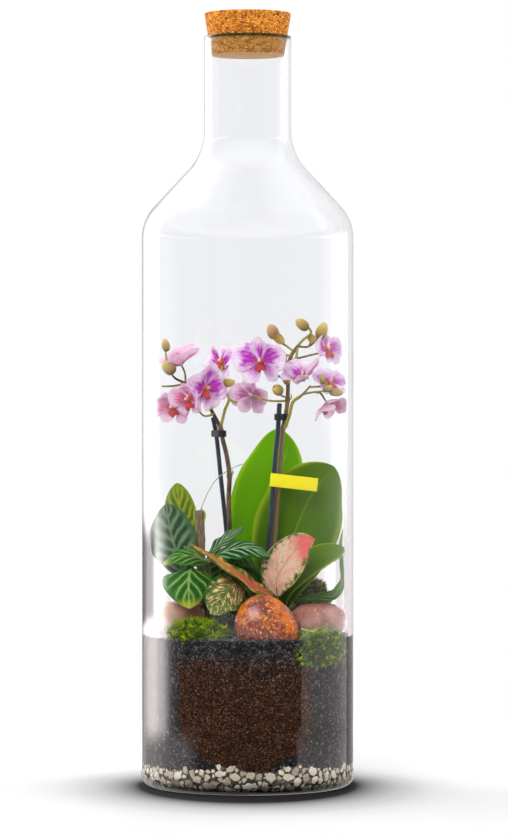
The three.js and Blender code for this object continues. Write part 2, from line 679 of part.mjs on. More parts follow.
const AERIAL_ROOT = {
  path: [[-40, -21.5, 234.6], [-34.4, -18, 248.5], [-27, -8, 260.5], [-16, 10, 268.5], [-2.5, 31, 273],
    [12.4, 48, 269], [28, 56, 250], [35, 54, 206], [35, 48, 150], [35, 47, ROOT_Z]],
  radius: AERIAL_ROOT_RADIUS,
  sides: 4,
  steps: 20,
};

// ---------- Stakes, clips and label ----------

const STAKES = {
  stake_right: {
    path: [[27, -8, 325], [25, -8, 294.5], [23.5, -8, 281.5], [20, -8, 229], [17.8, -8, 207.5],
      [14.6, -9, 158], [14, -9, ROOT_Z]],
    radius: STAKE_RADIUS.right,
    sides: 6,
    steps: 7,
  },
  stake_left: {
    path: [[-29.6, 3, 313], [-27, 4, 299.5], [-22.8, 7, 260], [-18.6, 11, 219], [-14.3, 15, 157],
      [-13, 16, ROOT_Z]],
    radius: STAKE_RADIUS.left,
    sides: 6,
    steps: 7,
  },
};

// Each clip reaches round the stake and the stem beside it, from one point to the other.
const CLIPS = {
  clip_right: { from: [26.3, -8, 314], to: [32, -2.3, 314] },
  clip_left: { from: [-27.4, 3.8, 300], to: [-22, -3, 299.5] },
};

/** Band round two points, as an outline with round ends. */
function clip({ from, to }, gap = 0) {
  const [a, b] = [vector(from), vector(to)];
  const radius = STAKE_RADIUS.right + GAP + CLIP_WALL + gap;
  const half = a.distanceTo(b) / 2;
  const outline = new THREE.Shape();
  outline.absarc(half, 0, radius, -Math.PI / 2, Math.PI / 2);
  outline.absarc(-half, 0, radius, Math.PI / 2, (3 * Math.PI) / 2);
  const geometry = new THREE.ExtrudeGeometry(outline, {
    depth: CLIP_HEIGHT + 2 * gap,
    bevelEnabled: false,
    curveSegments: 6,
  });
  geometry.translate(0, 0, -CLIP_HEIGHT / 2 - gap);
  geometry.rotateZ(Math.atan2(b.y - a.y, b.x - a.x));
  return solid(geometry.translate(...a.clone().lerp(b, 0.5).toArray()));
}

/** Blank label: a strip whose left end is looped round the right stake. */
function tag(gap = 0) {
  const { at, length, height, thickness, loopRadius, tilt } = TAG;
  const loop = new THREE.CylinderGeometry(loopRadius + gap, loopRadius + gap, height + 2 * gap, 12);
  loop.rotateX(Math.PI / 2);
  const strip = new THREE.BoxGeometry(length + gap, thickness + 2 * gap, height + 2 * gap);
  strip.translate(length / 2, thickness / 2 - loopRadius, 0);
  return join([loop, strip].map((geometry) => (
    solid(geometry.rotateY(THREE.MathUtils.degToRad(tilt)).translate(...at)))));
}

// ---------- Foliage ----------

const CALATHEA_LEAVES = {
  calathea_leaf_1: {
    stalk: [[-43, 3, ROOT_Z], [-42, 2, 153], [-44, 2, 170]],
    rib: [[-47, 2, 182], [-52, 6, 205], [-57.5, 8, 230], [-60.5, 4, 257.5]],
    side: [[1, 0.15, 0.15]],
    width: 15.5,
    widest: 0.62,
    full: 0.6,
  },
  calathea_leaf_2: {
    stalk: [[-47, -3, ROOT_Z], [-48, -5, 155], [-50, -12, 170]],
    rib: [[-54, -17, 178], [-59, -20, 196], [-65, -16, 217], [-69, -9, 240]],
    side: [[0.9, -0.45, 0.15]],
    width: 22,
    widest: 0.5,
    full: 0.6,
  },
  calathea_leaf_3: {
    stalk: [[-40, -4, ROOT_Z], [-41, -6, 158], [-43, -17, 179]],
    rib: [[-45, -27, 186], [-48, -40, 185], [-49, -51, 173], [-48, -58, 154]],
    side: [[-1, 0, 0]],
    width: 19.5,
    widest: 0.42,
    fold: -0.25,
  },
  calathea_leaf_4: {
    stalk: [[-30, -12, ROOT_Z], [-31, -18, 160], [-34.5, -25, 184]],
    rib: [[-35, -27, 191], [-28, -27, 202.5], [-17, -24, 212.5], [-3, -16, 221.5]],
    side: [[0.25, -0.9, -0.3]],
    width: 9,
    along: 5,
  },
  calathea_leaf_5: {
    stalk: [[-26, -17, ROOT_Z], [-27, -24, 160], [-31, -31, 183]],
    rib: [[-32, -34, 193], [-21.5, -38, 200], [-1.5, -44, 204.5], [19.5, -48, 197.5]],
    side: [[0.1, -0.75, -0.65]],
    width: 10.5,
    fold: -0.2,
    along: 5,
  },
  calathea_leaf_6: {
    stalk: [[-21, -16, ROOT_Z], [-21, -19, 160], [-23.5, -21, 182]],
    rib: [[-23, -22, 191], [-8, -28, 197], [7, -31, 188.5], [14, -32, 176]],
    side: [[0.2, -0.8, -0.5]],
    width: 11,
    fold: -0.2,
    along: 5,
  },
  calathea_leaf_7: {
    stalk: [[-14, -3, ROOT_Z], [-14, -3, 160], [-14, -3, 186]],
    rib: [[-14, -4, 195], [-15, -8, 196], [-16, -12, 182], [-15, -13, 158]],
    side: [[-1, 0, 0]],
    width: 16,
    widest: 0.45,
    fold: -0.2,
  },
  calathea_leaf_8: {
    stalk: [[-33, -14, ROOT_Z], [-33, -20, 155], [-33, -28, 176]],
    rib: [[-35, -33, 186], [-46, -35, 194], [-59, -35, 196], [-71, -32, 190]],
    side: [[0.1, 0.7, 0.7]],
    width: 10,
    widest: 0.45,
    fold: -0.15,
    along: 5,
  },
  calathea_leaf_9: {
    stalk: [[34, -12, ROOT_Z], [34, -14, 145]],
    rib: [[38, -16, 157], [58, -12, 161], [74, -3, 163], [81.5, 6, 173], [82.5, 11, 190], [80, 10, 205],
      [82.5, 7, 218.5]],
    side: [[-0.2, -0.75, 0.6], [-0.6, -0.8, 0]],
    width: 7.5,
    widest: 0.4,
    along: 9,
  },
};

const AGLAONEMA_LEAVES = {
  aglaonema_leaf_1: {
    stalk: [[25, -25, ROOT_Z], [25, -26, 148]],
    rib: [[25, -31, 163], [24.5, -37, 177], [34, -41, 195], [46, -41, 208.5], [56, -37, 211.5]],
    side: [[0.8, -0.35, -0.4], [0.6, -0.2, -0.75]],
    width: 17.5,
    widest: 0.45,
    fold: 0.2,
    wave: 0.4,
  },
  aglaonema_leaf_2: {
    stalk: [[20, -24, ROOT_Z], [20, -26, 148]],
    rib: [[20.5, -37, 165.5], [8.5, -46, 170.5], [-10.5, -53, 184], [-31.5, -52, 198], [-49, -46, 208.5]],
    side: [[0, 1, 0.6], [0, 1, 0.3]],
    width: 11,
    widest: 0.35,
    fold: 0.1,
  },
  aglaonema_leaf_3: {
    stalk: [[13, -22, ROOT_Z], [12, -25, 150]],
    rib: [[-3, -40, 169], [-11, -50, 171], [-21, -56, 163], [-29, -59, 149]],
    side: [[-0.6, 0.1, 0.7]],
    width: 17,
    widest: 0.5,
    full: 0.6,
    fold: -0.15,
  },
  aglaonema_leaf_4: {
    stalk: [[8, -19, ROOT_Z], [7, -22, 150], [-4, -30, 172]],
    rib: [[-17, -37, 184], [-30, -43, 192.5], [-42, -46, 197], [-53.5, -44, 206]],
    side: [[0, 1, -0.1], [0, 1, 0.2]],
    width: 6.5,
  },
};

/** Thin leaf with a waved edge. */
function wavyLeaf(shape, gap = 0) {
  return leaf({ full: 0.75, wave: 1, ...shape }, gap);
}

// ---------- Assembly ----------

const entry = (name, finish, make) => ({ name, finish, make });
const family = (shapes, finish, make) => Object.entries(shapes)
  .map(([name, shape]) => entry(name, finish, (gap) => make(shape, gap)));

// What comes first keeps its whole form.
const HOLDER = [
  entry('glass_bottle', 'glass', bottle),
  entry('cork_stopper', 'cork', cork),
];
const ORCHID = [
  ...family(STAKES, 'stake', tube),
  ...family(SPIKES, 'spike', spike),
  entry('cut_spike_stub', 'spike', cutStub),
  entry('aerial_root', 'dryRoot', (gap) => tube(AERIAL_ROOT, gap)),
  ...family(ORCHID_LEAVES, 'orchidLeaf', orchidLeaf),
  entry('orchid_crown', 'orchidLeaf', (gap) => tube(CROWN, gap)),
  ...family(BLOOMS, 'petal', bloom),
  entry('plant_tag', 'tag', tag),
  ...family(CLIPS, 'clip', clip),
];
const FOLIAGE = [
  ...family(CALATHEA_LEAVES, 'stripedLeaf', wavyLeaf),
  ...family(AGLAONEMA_LEAVES, 'speckledLeaf', wavyLeaf),
];
const GROUND = [
  ...family(MOSSES, 'moss', moss),
  entry('drainage_gravel', 'pumice', gravel),
  entry('potting_soil', 'soil', rootBall),
  entry('black_grit', 'grit', fill),
];
const ROCKS = Object.entries(STONES)
  .map(([name, { finish, shape }]) => entry(name, finish, (gap) => lump(shape, gap)));

/** One group of the scene, each piece cut clear of all that were made before it. */
function assemble(name, entries, made) {
  const group = new THREE.Group();
  group.name = name;
  for (const { name: piece, finish, make } of entries) {
    const whole = make(0);
    const neighbours = made.filter((other) => boxesMeet(whole, other));
    const body = mainBody(neighbours.reduce((rest, other) => rest.subtract(other), whole));
    const { min, max } = body.boundingBox();
    const origin = new THREE.Vector3((min[0] + max[0]) / 2, (min[1] + max[1]) / 2, min[2]);
    const mesh = new THREE.Mesh(geometryOf(body, origin), new THREE.MeshStandardMaterial(FINISHES[finish]));
    mesh.name = piece;
    mesh.position.copy(origin);
    group.add(mesh);
    made.push(make(GAP));
  }
  return group;
}

const made = [];
const group = new THREE.Group();
group.name = 'planted_bottle';
group.add(assemble('holder', HOLDER, made));
group.add(assemble('stones', ROCKS, made));
group.add(assemble('orchid', ORCHID, made));
group.add(assemble('foliage', FOLIAGE, made));
group.add(assemble('ground', GROUND, made));

export default group;
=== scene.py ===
"""Looks of a planted glass bottle: clear glass, cork, layers, stones, moss, moth orchid and foliage.

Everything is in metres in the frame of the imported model: +Z up, +X right, -Y towards the viewer. Sizes
that repeat the model's are written in millimetres and scaled by MM.
"""

import logging
import math
import random
from dataclasses import dataclass
from enum import Enum
from typing import Any, ClassVar, Sequence

import bpy
import numpy as np
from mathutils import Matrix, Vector


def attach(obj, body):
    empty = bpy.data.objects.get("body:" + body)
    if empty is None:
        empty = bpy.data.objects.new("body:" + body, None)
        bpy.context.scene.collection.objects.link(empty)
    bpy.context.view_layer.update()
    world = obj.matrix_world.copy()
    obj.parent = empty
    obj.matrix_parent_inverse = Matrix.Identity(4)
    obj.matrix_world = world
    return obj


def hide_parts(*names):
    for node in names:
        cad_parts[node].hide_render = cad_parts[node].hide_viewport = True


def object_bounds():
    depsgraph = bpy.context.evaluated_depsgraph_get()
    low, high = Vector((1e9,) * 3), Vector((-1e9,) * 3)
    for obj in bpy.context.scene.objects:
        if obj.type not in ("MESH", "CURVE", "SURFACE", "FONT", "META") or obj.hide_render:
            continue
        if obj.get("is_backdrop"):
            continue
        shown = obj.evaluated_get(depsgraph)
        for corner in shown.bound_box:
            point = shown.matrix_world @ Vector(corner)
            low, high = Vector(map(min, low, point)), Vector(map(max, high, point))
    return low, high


LOG = logging.getLogger("planted_bottle")
MM = 0.001

Point = tuple[float, float, float]
Color = tuple[float, float, float]
Array = np.ndarray
Points = Sequence[Point | Array]
Pair = tuple[float, float]
Socket = bpy.types.NodeSocket
Piece = bpy.types.Object

# Sizes in millimetres that the model's solids share.
FILL_RADIUS = 85.3
WET_RADIUS = 86.35
LEAF_REACH = 84.2
GRAVEL_FLOOR = 7.4
GRAVEL_TOP = 24.0
GROUND = 128.5
ROOT_Z = 118.0

FULL_TURN = 2 * math.pi
SHARP = math.radians(40)


# ---------- Curves and surfaces ----------


class Track:
    """Smooth curve through points, read by share of its length."""

    def __init__(self, points: Points) -> None:
        """Fits a centripetal curve through the points.

        Args:
            points: Points in millimetres, at least two.
        """
        p = np.asarray(points, float)
        row = np.vstack([2 * p[0] - p[1], p, 2 * p[-1] - p[-2]])
        step = np.sqrt(np.linalg.norm(np.diff(row, axis=0), axis=1))[:, None]
        a, b, c, d = row[:-3], row[1:-2], row[2:-1], row[3:]
        d0, d1, d2 = step[:-2], step[1:-1], step[2:]
        t1 = ((b - a) / d0 - (c - a) / (d0 + d1) + (c - b) / d1) * d1
        t2 = ((c - b) / d1 - (d - b) / (d1 + d2) + (d - c) / d2) * d1
        self._terms = (b, t1, -3 * b + 3 * c - 2 * t1 - t2, 2 * b - 2 * c + t1 + t2)
        self._grid = np.linspace(0, 1, 401)
        lengths = np.linalg.norm(np.diff(self._raw(self._grid), axis=0), axis=1)
        run = np.concatenate([[0], np.cumsum(lengths)])
        self.length = float(run[-1])
        self._shares = run / run[-1]

    def _raw(self, t: Array) -> Array:
        """Points at the curve's own parameter.

        Args:
            t: Values from 0 to 1.

        Returns:
            A point for each value.
        """
        count = len(self._terms[0])
        place = np.clip(t, 0, 1) * count
        index = np.minimum(place.astype(int), count - 1)
        w = (place - index)[..., None]
        c0, c1, c2, c3 = (term[index] for term in self._terms)
        return ((c3 * w + c2) * w + c1) * w + c0

    def at(self, share: Array) -> Array:
        """Points at shares of the length."""
        return self._raw(np.interp(share, self._shares, self._grid))

    def ahead(self, share: Array) -> Array:
        """Unit directions at shares of the length.

        Args:
            share: Shares from 0 to 1.

        Returns:
            A direction for each share.
        """
        t = np.interp(share, self._shares, self._grid)
        run = self._raw(np.clip(t + 1e-3, 0, 1)) - self._raw(np.clip(t - 1e-3, 0, 1))
        return unit(run)


def unit(rows: Array) -> Array:
    """Rows scaled to length one."""
    return rows / np.maximum(np.linalg.norm(rows, axis=-1, keepdims=True), 1e-9)


def around(count: int) -> Array:
    """Angles of a full turn."""
    return np.linspace(0, FULL_TURN, count, endpoint=False)


def polar(radius: Array | float, turn: Array, z: Array | float, x: float = 0.0, y: float = 0.0) -> Array:
    """Points at a radius about an upright axis."""
    return np.stack([x + radius * np.cos(turn), y + radius * np.sin(turn), z + 0 * turn], -1)


def sway(rng: random.Random, wide: float, tall: float, lift: float = 0.0) -> Array:
    """Random offset that spreads sideways and upright."""
    return np.array([rng.gauss(0, wide), rng.gauss(0, wide), rng.gauss(lift, tall)])


def press_inside(points: Array, reach: float = LEAF_REACH) -> Array:
    """Points of a leaf, kept inside the glass.

    Args:
        points: Points in millimetres.
        reach: Radius to stay inside.

    Returns:
        The points, those outside moved straight in.
    """
    away = np.linalg.norm(points[..., :2], axis=-1, keepdims=True)
    scale = np.minimum(1, reach / np.maximum(away, 1e-6))
    return np.concatenate([points[..., :2] * scale, points[..., 2:]], axis=-1)


@dataclass(frozen=True)
class Blade:
    """Blade of a leaf or petal, in the terms of the model's blades."""

    rib: Points
    side: Points
    width: float
    widest: float = 0.5
    full: float = 0.7
    foot: float = 1.0
    fold: float = 0.0
    wave: float = 0.0
    waves: float = 3.0
    thickness: float = 0.6
    across: int = 16
    along: int = 36
    crease: float = 0.0

    def surface(self) -> tuple[Array, Array, Array]:
        """Middle surface of the blade.

        Returns:
            Points and normals in millimetres and UVs, each with rows along and columns across.
        """
        track = Track(self.rib)
        t = np.clip(0.5 - 0.5 * np.cos(np.linspace(0, math.pi, self.along + 1)), 0, 1)
        u = np.linspace(-1, 1, self.across + 1)
        base, ahead = track.at(t), track.ahead(t)
        side0, side1 = np.asarray(self.side[0], float), np.asarray(self.side[-1], float)
        sideways = side0 + (side1 - side0) * t[:, None]
        sideways = unit(sideways - np.sum(sideways * ahead, axis=1, keepdims=True) * ahead)
        upper = np.cross(sideways, ahead)
        shift = math.log(0.5) / math.log(self.widest)
        swell = self.width * np.maximum(np.sin(math.pi * t**shift), 0) ** self.full
        half = np.maximum(np.maximum(swell, self.foot * (1 - t)), 0.15)
        ripple = self.wave * np.sin(math.pi * t)[:, None] * np.sin(
            2 * math.pi * self.waves * t[:, None] + (u > 0)[None, :])
        rise = np.abs(u)[None, :] ** 1.5 * (self.fold * half)[:, None] + u[None, :] ** 2 * ripple
        rise -= self.crease * np.exp(-((u / 0.07) ** 2))[None, :] * np.sin(math.pi * t)[:, None] ** 0.5
        points = base[:, None] + sideways[:, None] * (u[None, :] * half[:, None])[..., None]
        points = press_inside(points + upper[:, None] * rise[..., None])
        du = np.gradient(points, axis=1)
        dt = np.gradient(points, axis=0)
        normals = unit(np.cross(du, dt))
        uvs = np.stack(np.broadcast_arrays((u / 2 + 0.5)[None, :], t[:, None]), axis=-1)
        return points, normals, uvs


class Shell:
    """Faces of one piece, gathered in millimetres."""

    def __init__(self) -> None:
        """Starts with no faces."""
        self._points: list[Array] = []
        self._faces: list[list[int]] = []
        self._uvs: list[Array] = []
        self._slots: list[int] = []
        self._tones: list[Array] = []
        self._count = 0

    def add(self, points: Array, faces: Array, uvs: Array, slot: int = 0, tone: float = 0.0) -> None:
        """Adds faces on their own points.

        Args:
            points: Corners, one row each.
            faces: Corner numbers, one row a face.
            uvs: UVs of the points.
            slot: Material slot of the faces.
            tone: Value of the points in the attribute "tone".
        """
        self._points.append(points)
        self._tones.append(np.full(len(points), tone))
        self._count += len(points)
        self.extend(faces, uvs, slot)

    def extend(self, faces: Array, uvs: Array, slot: int) -> None:
        """Adds faces on the points that were added last.

        Args:
            faces: Corner numbers among those points.
            uvs: UVs of those points.
            slot: Material slot of the faces.
        """
        self._faces += (faces + self._count - len(uvs)).tolist()
        self._uvs.append(uvs[faces.ravel()])
        self._slots += [slot] * len(faces)

    def blade(self, blade: Blade, slots: tuple[int, int] = (0, 0), tone: float = 0.0) -> None:
        """Adds a blade with its thickness.

        Args:
            blade: The blade.
            slots: Material slots of its upper and lower face.
            tone: Value for the attribute "tone".
        """
        middle, normals, uvs = blade.surface()
        rows, columns = middle.shape[:2]
        u = np.linspace(-1, 1, columns)
        half = (0.5 * blade.thickness * (1 - 0.6 * u**4))[None, :, None]
        index = np.arange(rows * columns).reshape(rows, columns)
        quads = np.stack([index[:-1, :-1], index[:-1, 1:], index[1:, 1:], index[1:, :-1]], -1).reshape(-1, 4)
        rim = np.concatenate([index[0, :-1], index[:-1, -1], index[-1, :0:-1], index[:0:-1, 0]])
        after = np.roll(rim, -1)
        walls = np.stack([after, rim, rim + rows * columns, after + rows * columns], -1)
        both = np.vstack([(middle + normals * half).reshape(-1, 3), (middle - normals * half).reshape(-1, 3)])
        both_uvs = np.vstack([uvs.reshape(-1, 2)] * 2)
        self.add(both, quads, both_uvs, slots[0], tone)
        self.extend(quads[:, ::-1] + rows * columns, both_uvs, slots[1])
        self.extend(walls, both_uvs, slots[1])

    def lattice(self, rings: Array, slot: int = 0, tone: float = 0.0, flip: bool = False) -> None:
        """Adds a closed skin over rings of points, with a fan at both ends.

        Args:
            rings: Points with one row a ring, each ring closed on itself.
            slot: Material slot of the faces.
            tone: Value for the attribute "tone".
            flip: True where the rings run against their outward turn.
        """
        rows, columns = rings.shape[:2]
        index = np.arange(rows * columns).reshape(rows, columns)
        nxt = np.roll(index, -1, axis=1)
        quads = np.stack([index[:-1], nxt[:-1], nxt[1:], index[1:]], -1).reshape(-1, 4)
        points = np.vstack([rings.reshape(-1, 3), rings[0].mean(axis=0), rings[-1].mean(axis=0)])
        u = np.broadcast_to(np.linspace(0, 1, columns, endpoint=False), (rows, columns)).ravel()
        v = np.repeat(np.linspace(0, 1, rows), columns)
        uvs = np.vstack([np.stack([u, v], -1), [[0.5, 0], [0.5, 1]]])
        order = slice(None, None, -1 if flip else 1)
        self.add(points, quads[:, order], uvs, slot, tone)
        for a, b, pole in ((nxt[0], index[0], rows * columns), (index[-1], nxt[-1], rows * columns + 1)):
            self.extend(np.stack([a, b, np.full(columns, pole)], -1)[:, order], uvs, slot)

    def tube(self, path: Points, radius: Array | float, tip: float | None = None, sides: int = 12,
             steps: int = 40, slot: int = 0, tone: float = 0.0) -> None:
        """Adds a round stem with rounded ends.

        Args:
            path: Points that the stem follows.
            radius: Radius at the start, or one for each ring.
            tip: Radius at the end.
            sides: Faces round the stem.
            steps: Rings less one along the stem.
            slot: Material slot of the faces.
            tone: Value for the attribute "tone".
        """
        track = Track(path)
        shares = np.linspace(0, 1, steps + 1)
        centres, ahead = track.at(shares), track.ahead(shares)
        if np.isscalar(radius):
            radius = np.linspace(radius, radius if tip is None else tip, steps + 1)
        across = np.cross(ahead[0], [0.3, 0.5, 0.8])
        turn = around(sides)
        rings = []
        for centre, forward, size in zip(centres, ahead, radius):
            across = unit(across - forward * float(across @ forward))
            other = np.cross(forward, across)
            rings.append(centre + size * (np.cos(turn)[:, None] * across + np.sin(turn)[:, None] * other))
        caps = [centres[end] + (rings[end] - centres[end]) * 0.6 + way * ahead[end] * radius[end] * 0.35
                for end, way in ((0, -1), (-1, 1))]
        self.lattice(np.array([caps[0], *rings, caps[1]]), slot, tone)

    def egg(self, at: Point, axis: Point, size: Pair, slot: int = 0, tone: float = 0.0,
            rows: int = 12, columns: int = 15) -> None:
        """Adds a bud: an egg with three faint ridges and a narrower tip.

        Args:
            at: Middle of the egg.
            axis: Direction of its tip.
            size: Half sizes across and along.
            slot: Material slot of the faces.
            tone: Value for the attribute "tone".
            rows: Rings along.
            columns: Faces round.
        """
        forward = unit(np.asarray(axis, float))
        across = unit(np.cross(forward, [0.31, 0.52, 0.79]))
        other = np.cross(forward, across)
        phi = np.linspace(0.12, math.pi - 0.12, rows)[::-1]
        turn = around(columns)
        ridge = 1 + 0.05 * np.cos(3 * turn)[None, :] * np.sin(phi)[:, None]
        wide = (size[0] * np.sin(phi) ** 0.9 * (1 - 0.1 * np.cos(phi)))[:, None] * ridge
        rings = (np.asarray(at, float) + (size[1] * np.cos(phi))[:, None, None] * forward
                 + wide[..., None] * (np.cos(turn)[:, None] * across + np.sin(turn)[:, None] * other))
        self.lattice(rings, slot, tone)

    def build(self, name: str, *looks: "Finish | Palette", smooth: bool = True) -> Piece:
        """Makes the piece in the scene, with its place in its mesh.

        Args:
            name: Name of the object.
            looks: Finishes of its slots.
            smooth: False for broken stone with flat faces.

        Returns:
            The new object.
        """
        mesh = bpy.data.meshes.new(name)
        mesh.from_pydata((np.vstack(self._points) * MM).tolist(), [], self._faces)
        layer = mesh.uv_layers.new(name="shape")
        layer.uv.foreach_set("vector", np.vstack(self._uvs).astype(np.float32).ravel())
        tone = mesh.attributes.new("tone", "FLOAT", "POINT")
        tone.data.foreach_set("value", np.concatenate(self._tones).astype(np.float32))
        for look in looks:
            mesh.materials.append(look.material())
        mesh.polygons.foreach_set("material_index", self._slots)
        mesh.polygons.foreach_set("use_smooth", [smooth] * len(mesh.polygons))
        mesh.update()
        piece = bpy.data.objects.new(name, mesh)
        bpy.context.scene.collection.objects.link(piece)
        return piece


def place(piece: Piece, slot: str, *nodes: str) -> None:
    """Hands a finished piece to the frame.

    Args:
        piece: The finished piece.
        slot: Not used.
        nodes: Nodes of the model that it stands for.
    """
    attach(piece, "root")
    if nodes:
        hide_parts(*nodes)
    LOG.info("%s: %d faces", piece.name, len(piece.data.polygons))


# ---------- Shader nodes ----------


class Graph:
    """Nodes of one material or node group."""

    def __init__(self, tree: bpy.types.NodeTree) -> None:
        """Empties the tree.

        Args:
            tree: Tree that the nodes go into.
        """
        self.tree = tree
        tree.nodes.clear()

    def node(self, kind: str, inputs: dict[Any, Any] | None = None, **settings: Any) -> bpy.types.Node:
        """Adds a node.

        Args:
            kind: Type name after "ShaderNode".
            inputs: Value or source socket for each named or numbered input.
            settings: Properties of the node.

        Returns:
            The node.
        """
        node = self.tree.nodes.new("ShaderNode" + kind)
        for key, value in settings.items():
            setattr(node, key, value)
        for key, value in (inputs or {}).items():
            if isinstance(value, bpy.types.NodeSocket):
                self.tree.links.new(value, node.inputs[key])
            elif isinstance(value, tuple) and len(value) == 3 and node.inputs[key].type == "RGBA":
                node.inputs[key].default_value = (*value, 1)
            else:
                node.inputs[key].default_value = value
        return node

    def place(self, scale: Point = (1, 1, 1)) -> Socket:
        """Object coordinates in metres, scaled along each axis."""
        source = self.node("TexCoord").outputs["Object"]
        return self.node("Mapping", {"Vector": source, "Scale": scale}).outputs["Vector"]

    def shape(self) -> tuple[Socket, Socket, Socket]:
        """The piece's own UVs: distance from the rib from 0 to 1, place across, and place along.

        Returns:
            A socket for each of the three.
        """
        split = self.node("SeparateXYZ", {0: self.node("UVMap", uv_map="shape").outputs["UV"]})
        across = self.calc("MULTIPLY_ADD", split.outputs["X"], 2.0, -1.0)
        return self.calc("ABSOLUTE", across), across, split.outputs["Y"]

    def tone(self) -> Socket:
        """The piece's own attribute "tone"."""
        return self.node("Attribute", attribute_name="tone").outputs["Fac"]

    def noise(self, vector: Socket, scale: float, detail: float = 3.0, rough: float = 0.55) -> Socket:
        """Noise from 0 to 1."""
        return self.node("TexNoise", {"Vector": vector, "Scale": scale, "Detail": detail,
                                      "Roughness": rough}).outputs["Fac"]

    def cells(self, vector: Socket, scale: float, out: str = "Distance", feature: str = "F1") -> Socket:
        """Cell pattern: its distance or its colour for each cell."""
        return self.node("TexVoronoi", {"Vector": vector, "Scale": scale}, feature=feature).outputs[out]

    def calc(self, operation: str, a: Any, b: Any = 0.0, c: Any = 0.0, clamp: bool = False) -> Socket:
        """Result of a sum on values."""
        return self.node("Math", {0: a, 1: b, 2: c}, operation=operation, use_clamp=clamp).outputs[0]

    def times(self, a: Any, b: Any, clamp: bool = False) -> Socket:
        """Product of two values."""
        return self.calc("MULTIPLY", a, b, clamp=clamp)

    def plus(self, a: Any, b: Any) -> Socket:
        """Sum of two values."""
        return self.calc("ADD", a, b)

    def minus(self, a: Any, b: Any) -> Socket:
        """Difference of two values."""
        return self.calc("SUBTRACT", a, b)

    def left(self, value: Any, clamp: bool = False) -> Socket:
        """What a value leaves of 1."""
        return self.calc("SUBTRACT", 1.0, value, clamp=clamp)

    def scale(self, value: Any, factor: float, shift: float) -> Socket:
        """Value times a factor, plus a shift."""
        return self.calc("MULTIPLY_ADD", value, factor, shift)

    def ease(self, value: Socket, low: float, high: float) -> Socket:
        """Smooth step from 0 at low to 1 at high."""
        return self.node("MapRange", {"Value": value, "From Min": low, "From Max": high},
                         interpolation_type="SMOOTHSTEP").outputs[0]

    def ramp(self, value: Any, *stops: tuple[float, Color]) -> Socket:
        """Colour between stops of a place and a colour.

        Args:
            value: Place on the ramp.
            stops: Place and colour of each stop, in order.

        Returns:
            The colour.
        """
        node = self.node("ValToRGB", {0: value})
        elements = node.color_ramp.elements
        for element, (position, color) in ((elements[0], stops[0]), (elements[1], stops[-1])):
            element.position = position
            element.color = (*color, 1)
        for position, color in stops[1:-1]:
            elements.new(position).color = (*color, 1)
        return node.outputs["Color"]

    def mix(self, share: Any, a: Any, b: Any, blend: str = "MIX") -> Socket:
        """Mix of two colours."""
        return self.node("Mix", {0: share, 6: a, 7: b}, data_type="RGBA", blend_type=blend).outputs[2]

    def over(self, color: Any, other: Any, mask: Socket, share: Any) -> Socket:
        """Colour with a share of another one laid over it through a mask."""
        return self.mix(self.times(mask, share), color, other)

    def blend(self, share: Any, a: Any, b: Any) -> Socket:
        """Mix of two values."""
        return self.node("Mix", {0: share, 2: a, 3: b}, data_type="FLOAT").outputs[0]

    def bump(self, height: Socket, distance: float, strength: float = 1.0) -> Socket:
        """Normal for a height from 0 to 1 that stands for a distance in metres."""
        return self.node("Bump", {"Height": height, "Distance": distance, "Strength": strength}).outputs[0]

    def surface(self, color: Socket, rough: Any, gloss: float, normal: Socket | None = None,
                through: float = 0.0, lit: Socket | None = None, coat: float = 0.0) -> None:
        """Ends the material with a Principled shader, with light let through where asked.

        Args:
            color: Base colour.
            rough: Roughness.
            gloss: Specular level.
            normal: Bumped normal.
            through: Share of the light that passes the surface and scatters.
            lit: Colour of that light.
            coat: Weight of a clear polish.
        """
        bumped = {"Normal": normal} if normal is not None else {}
        polish = {"Coat Weight": coat, "Coat Roughness": 0.1} if coat else {}
        shader = self.node("BsdfPrincipled", {"Base Color": color, "Roughness": rough,
                                              "Specular IOR Level": gloss} | bumped | polish).outputs[0]
        if through:
            behind = self.node("BsdfTranslucent", {"Color": lit} | bumped).outputs[0]
            shader = self.node("MixShader", {0: through, 1: shader, 2: behind}).outputs[0]
        self.node("OutputMaterial", {0: shader})


MADE: dict[str, bpy.types.Material] = {}


class Finish:
    """A material that is made once by its name."""

    name: str

    def dress(self, graph: Graph) -> None:
        """Builds the nodes.

        Args:
            graph: Nodes of the material.
        """
        raise NotImplementedError

    def material(self) -> bpy.types.Material:
        """The material, made on the first call.

        Returns:
            The same material on every call.
        """
        if self.name not in MADE:
            MADE[self.name] = bpy.data.materials.new(f"look_{self.name}")
            MADE[self.name].use_nodes = True
            self.dress(Graph(MADE[self.name].node_tree))
        return MADE[self.name]


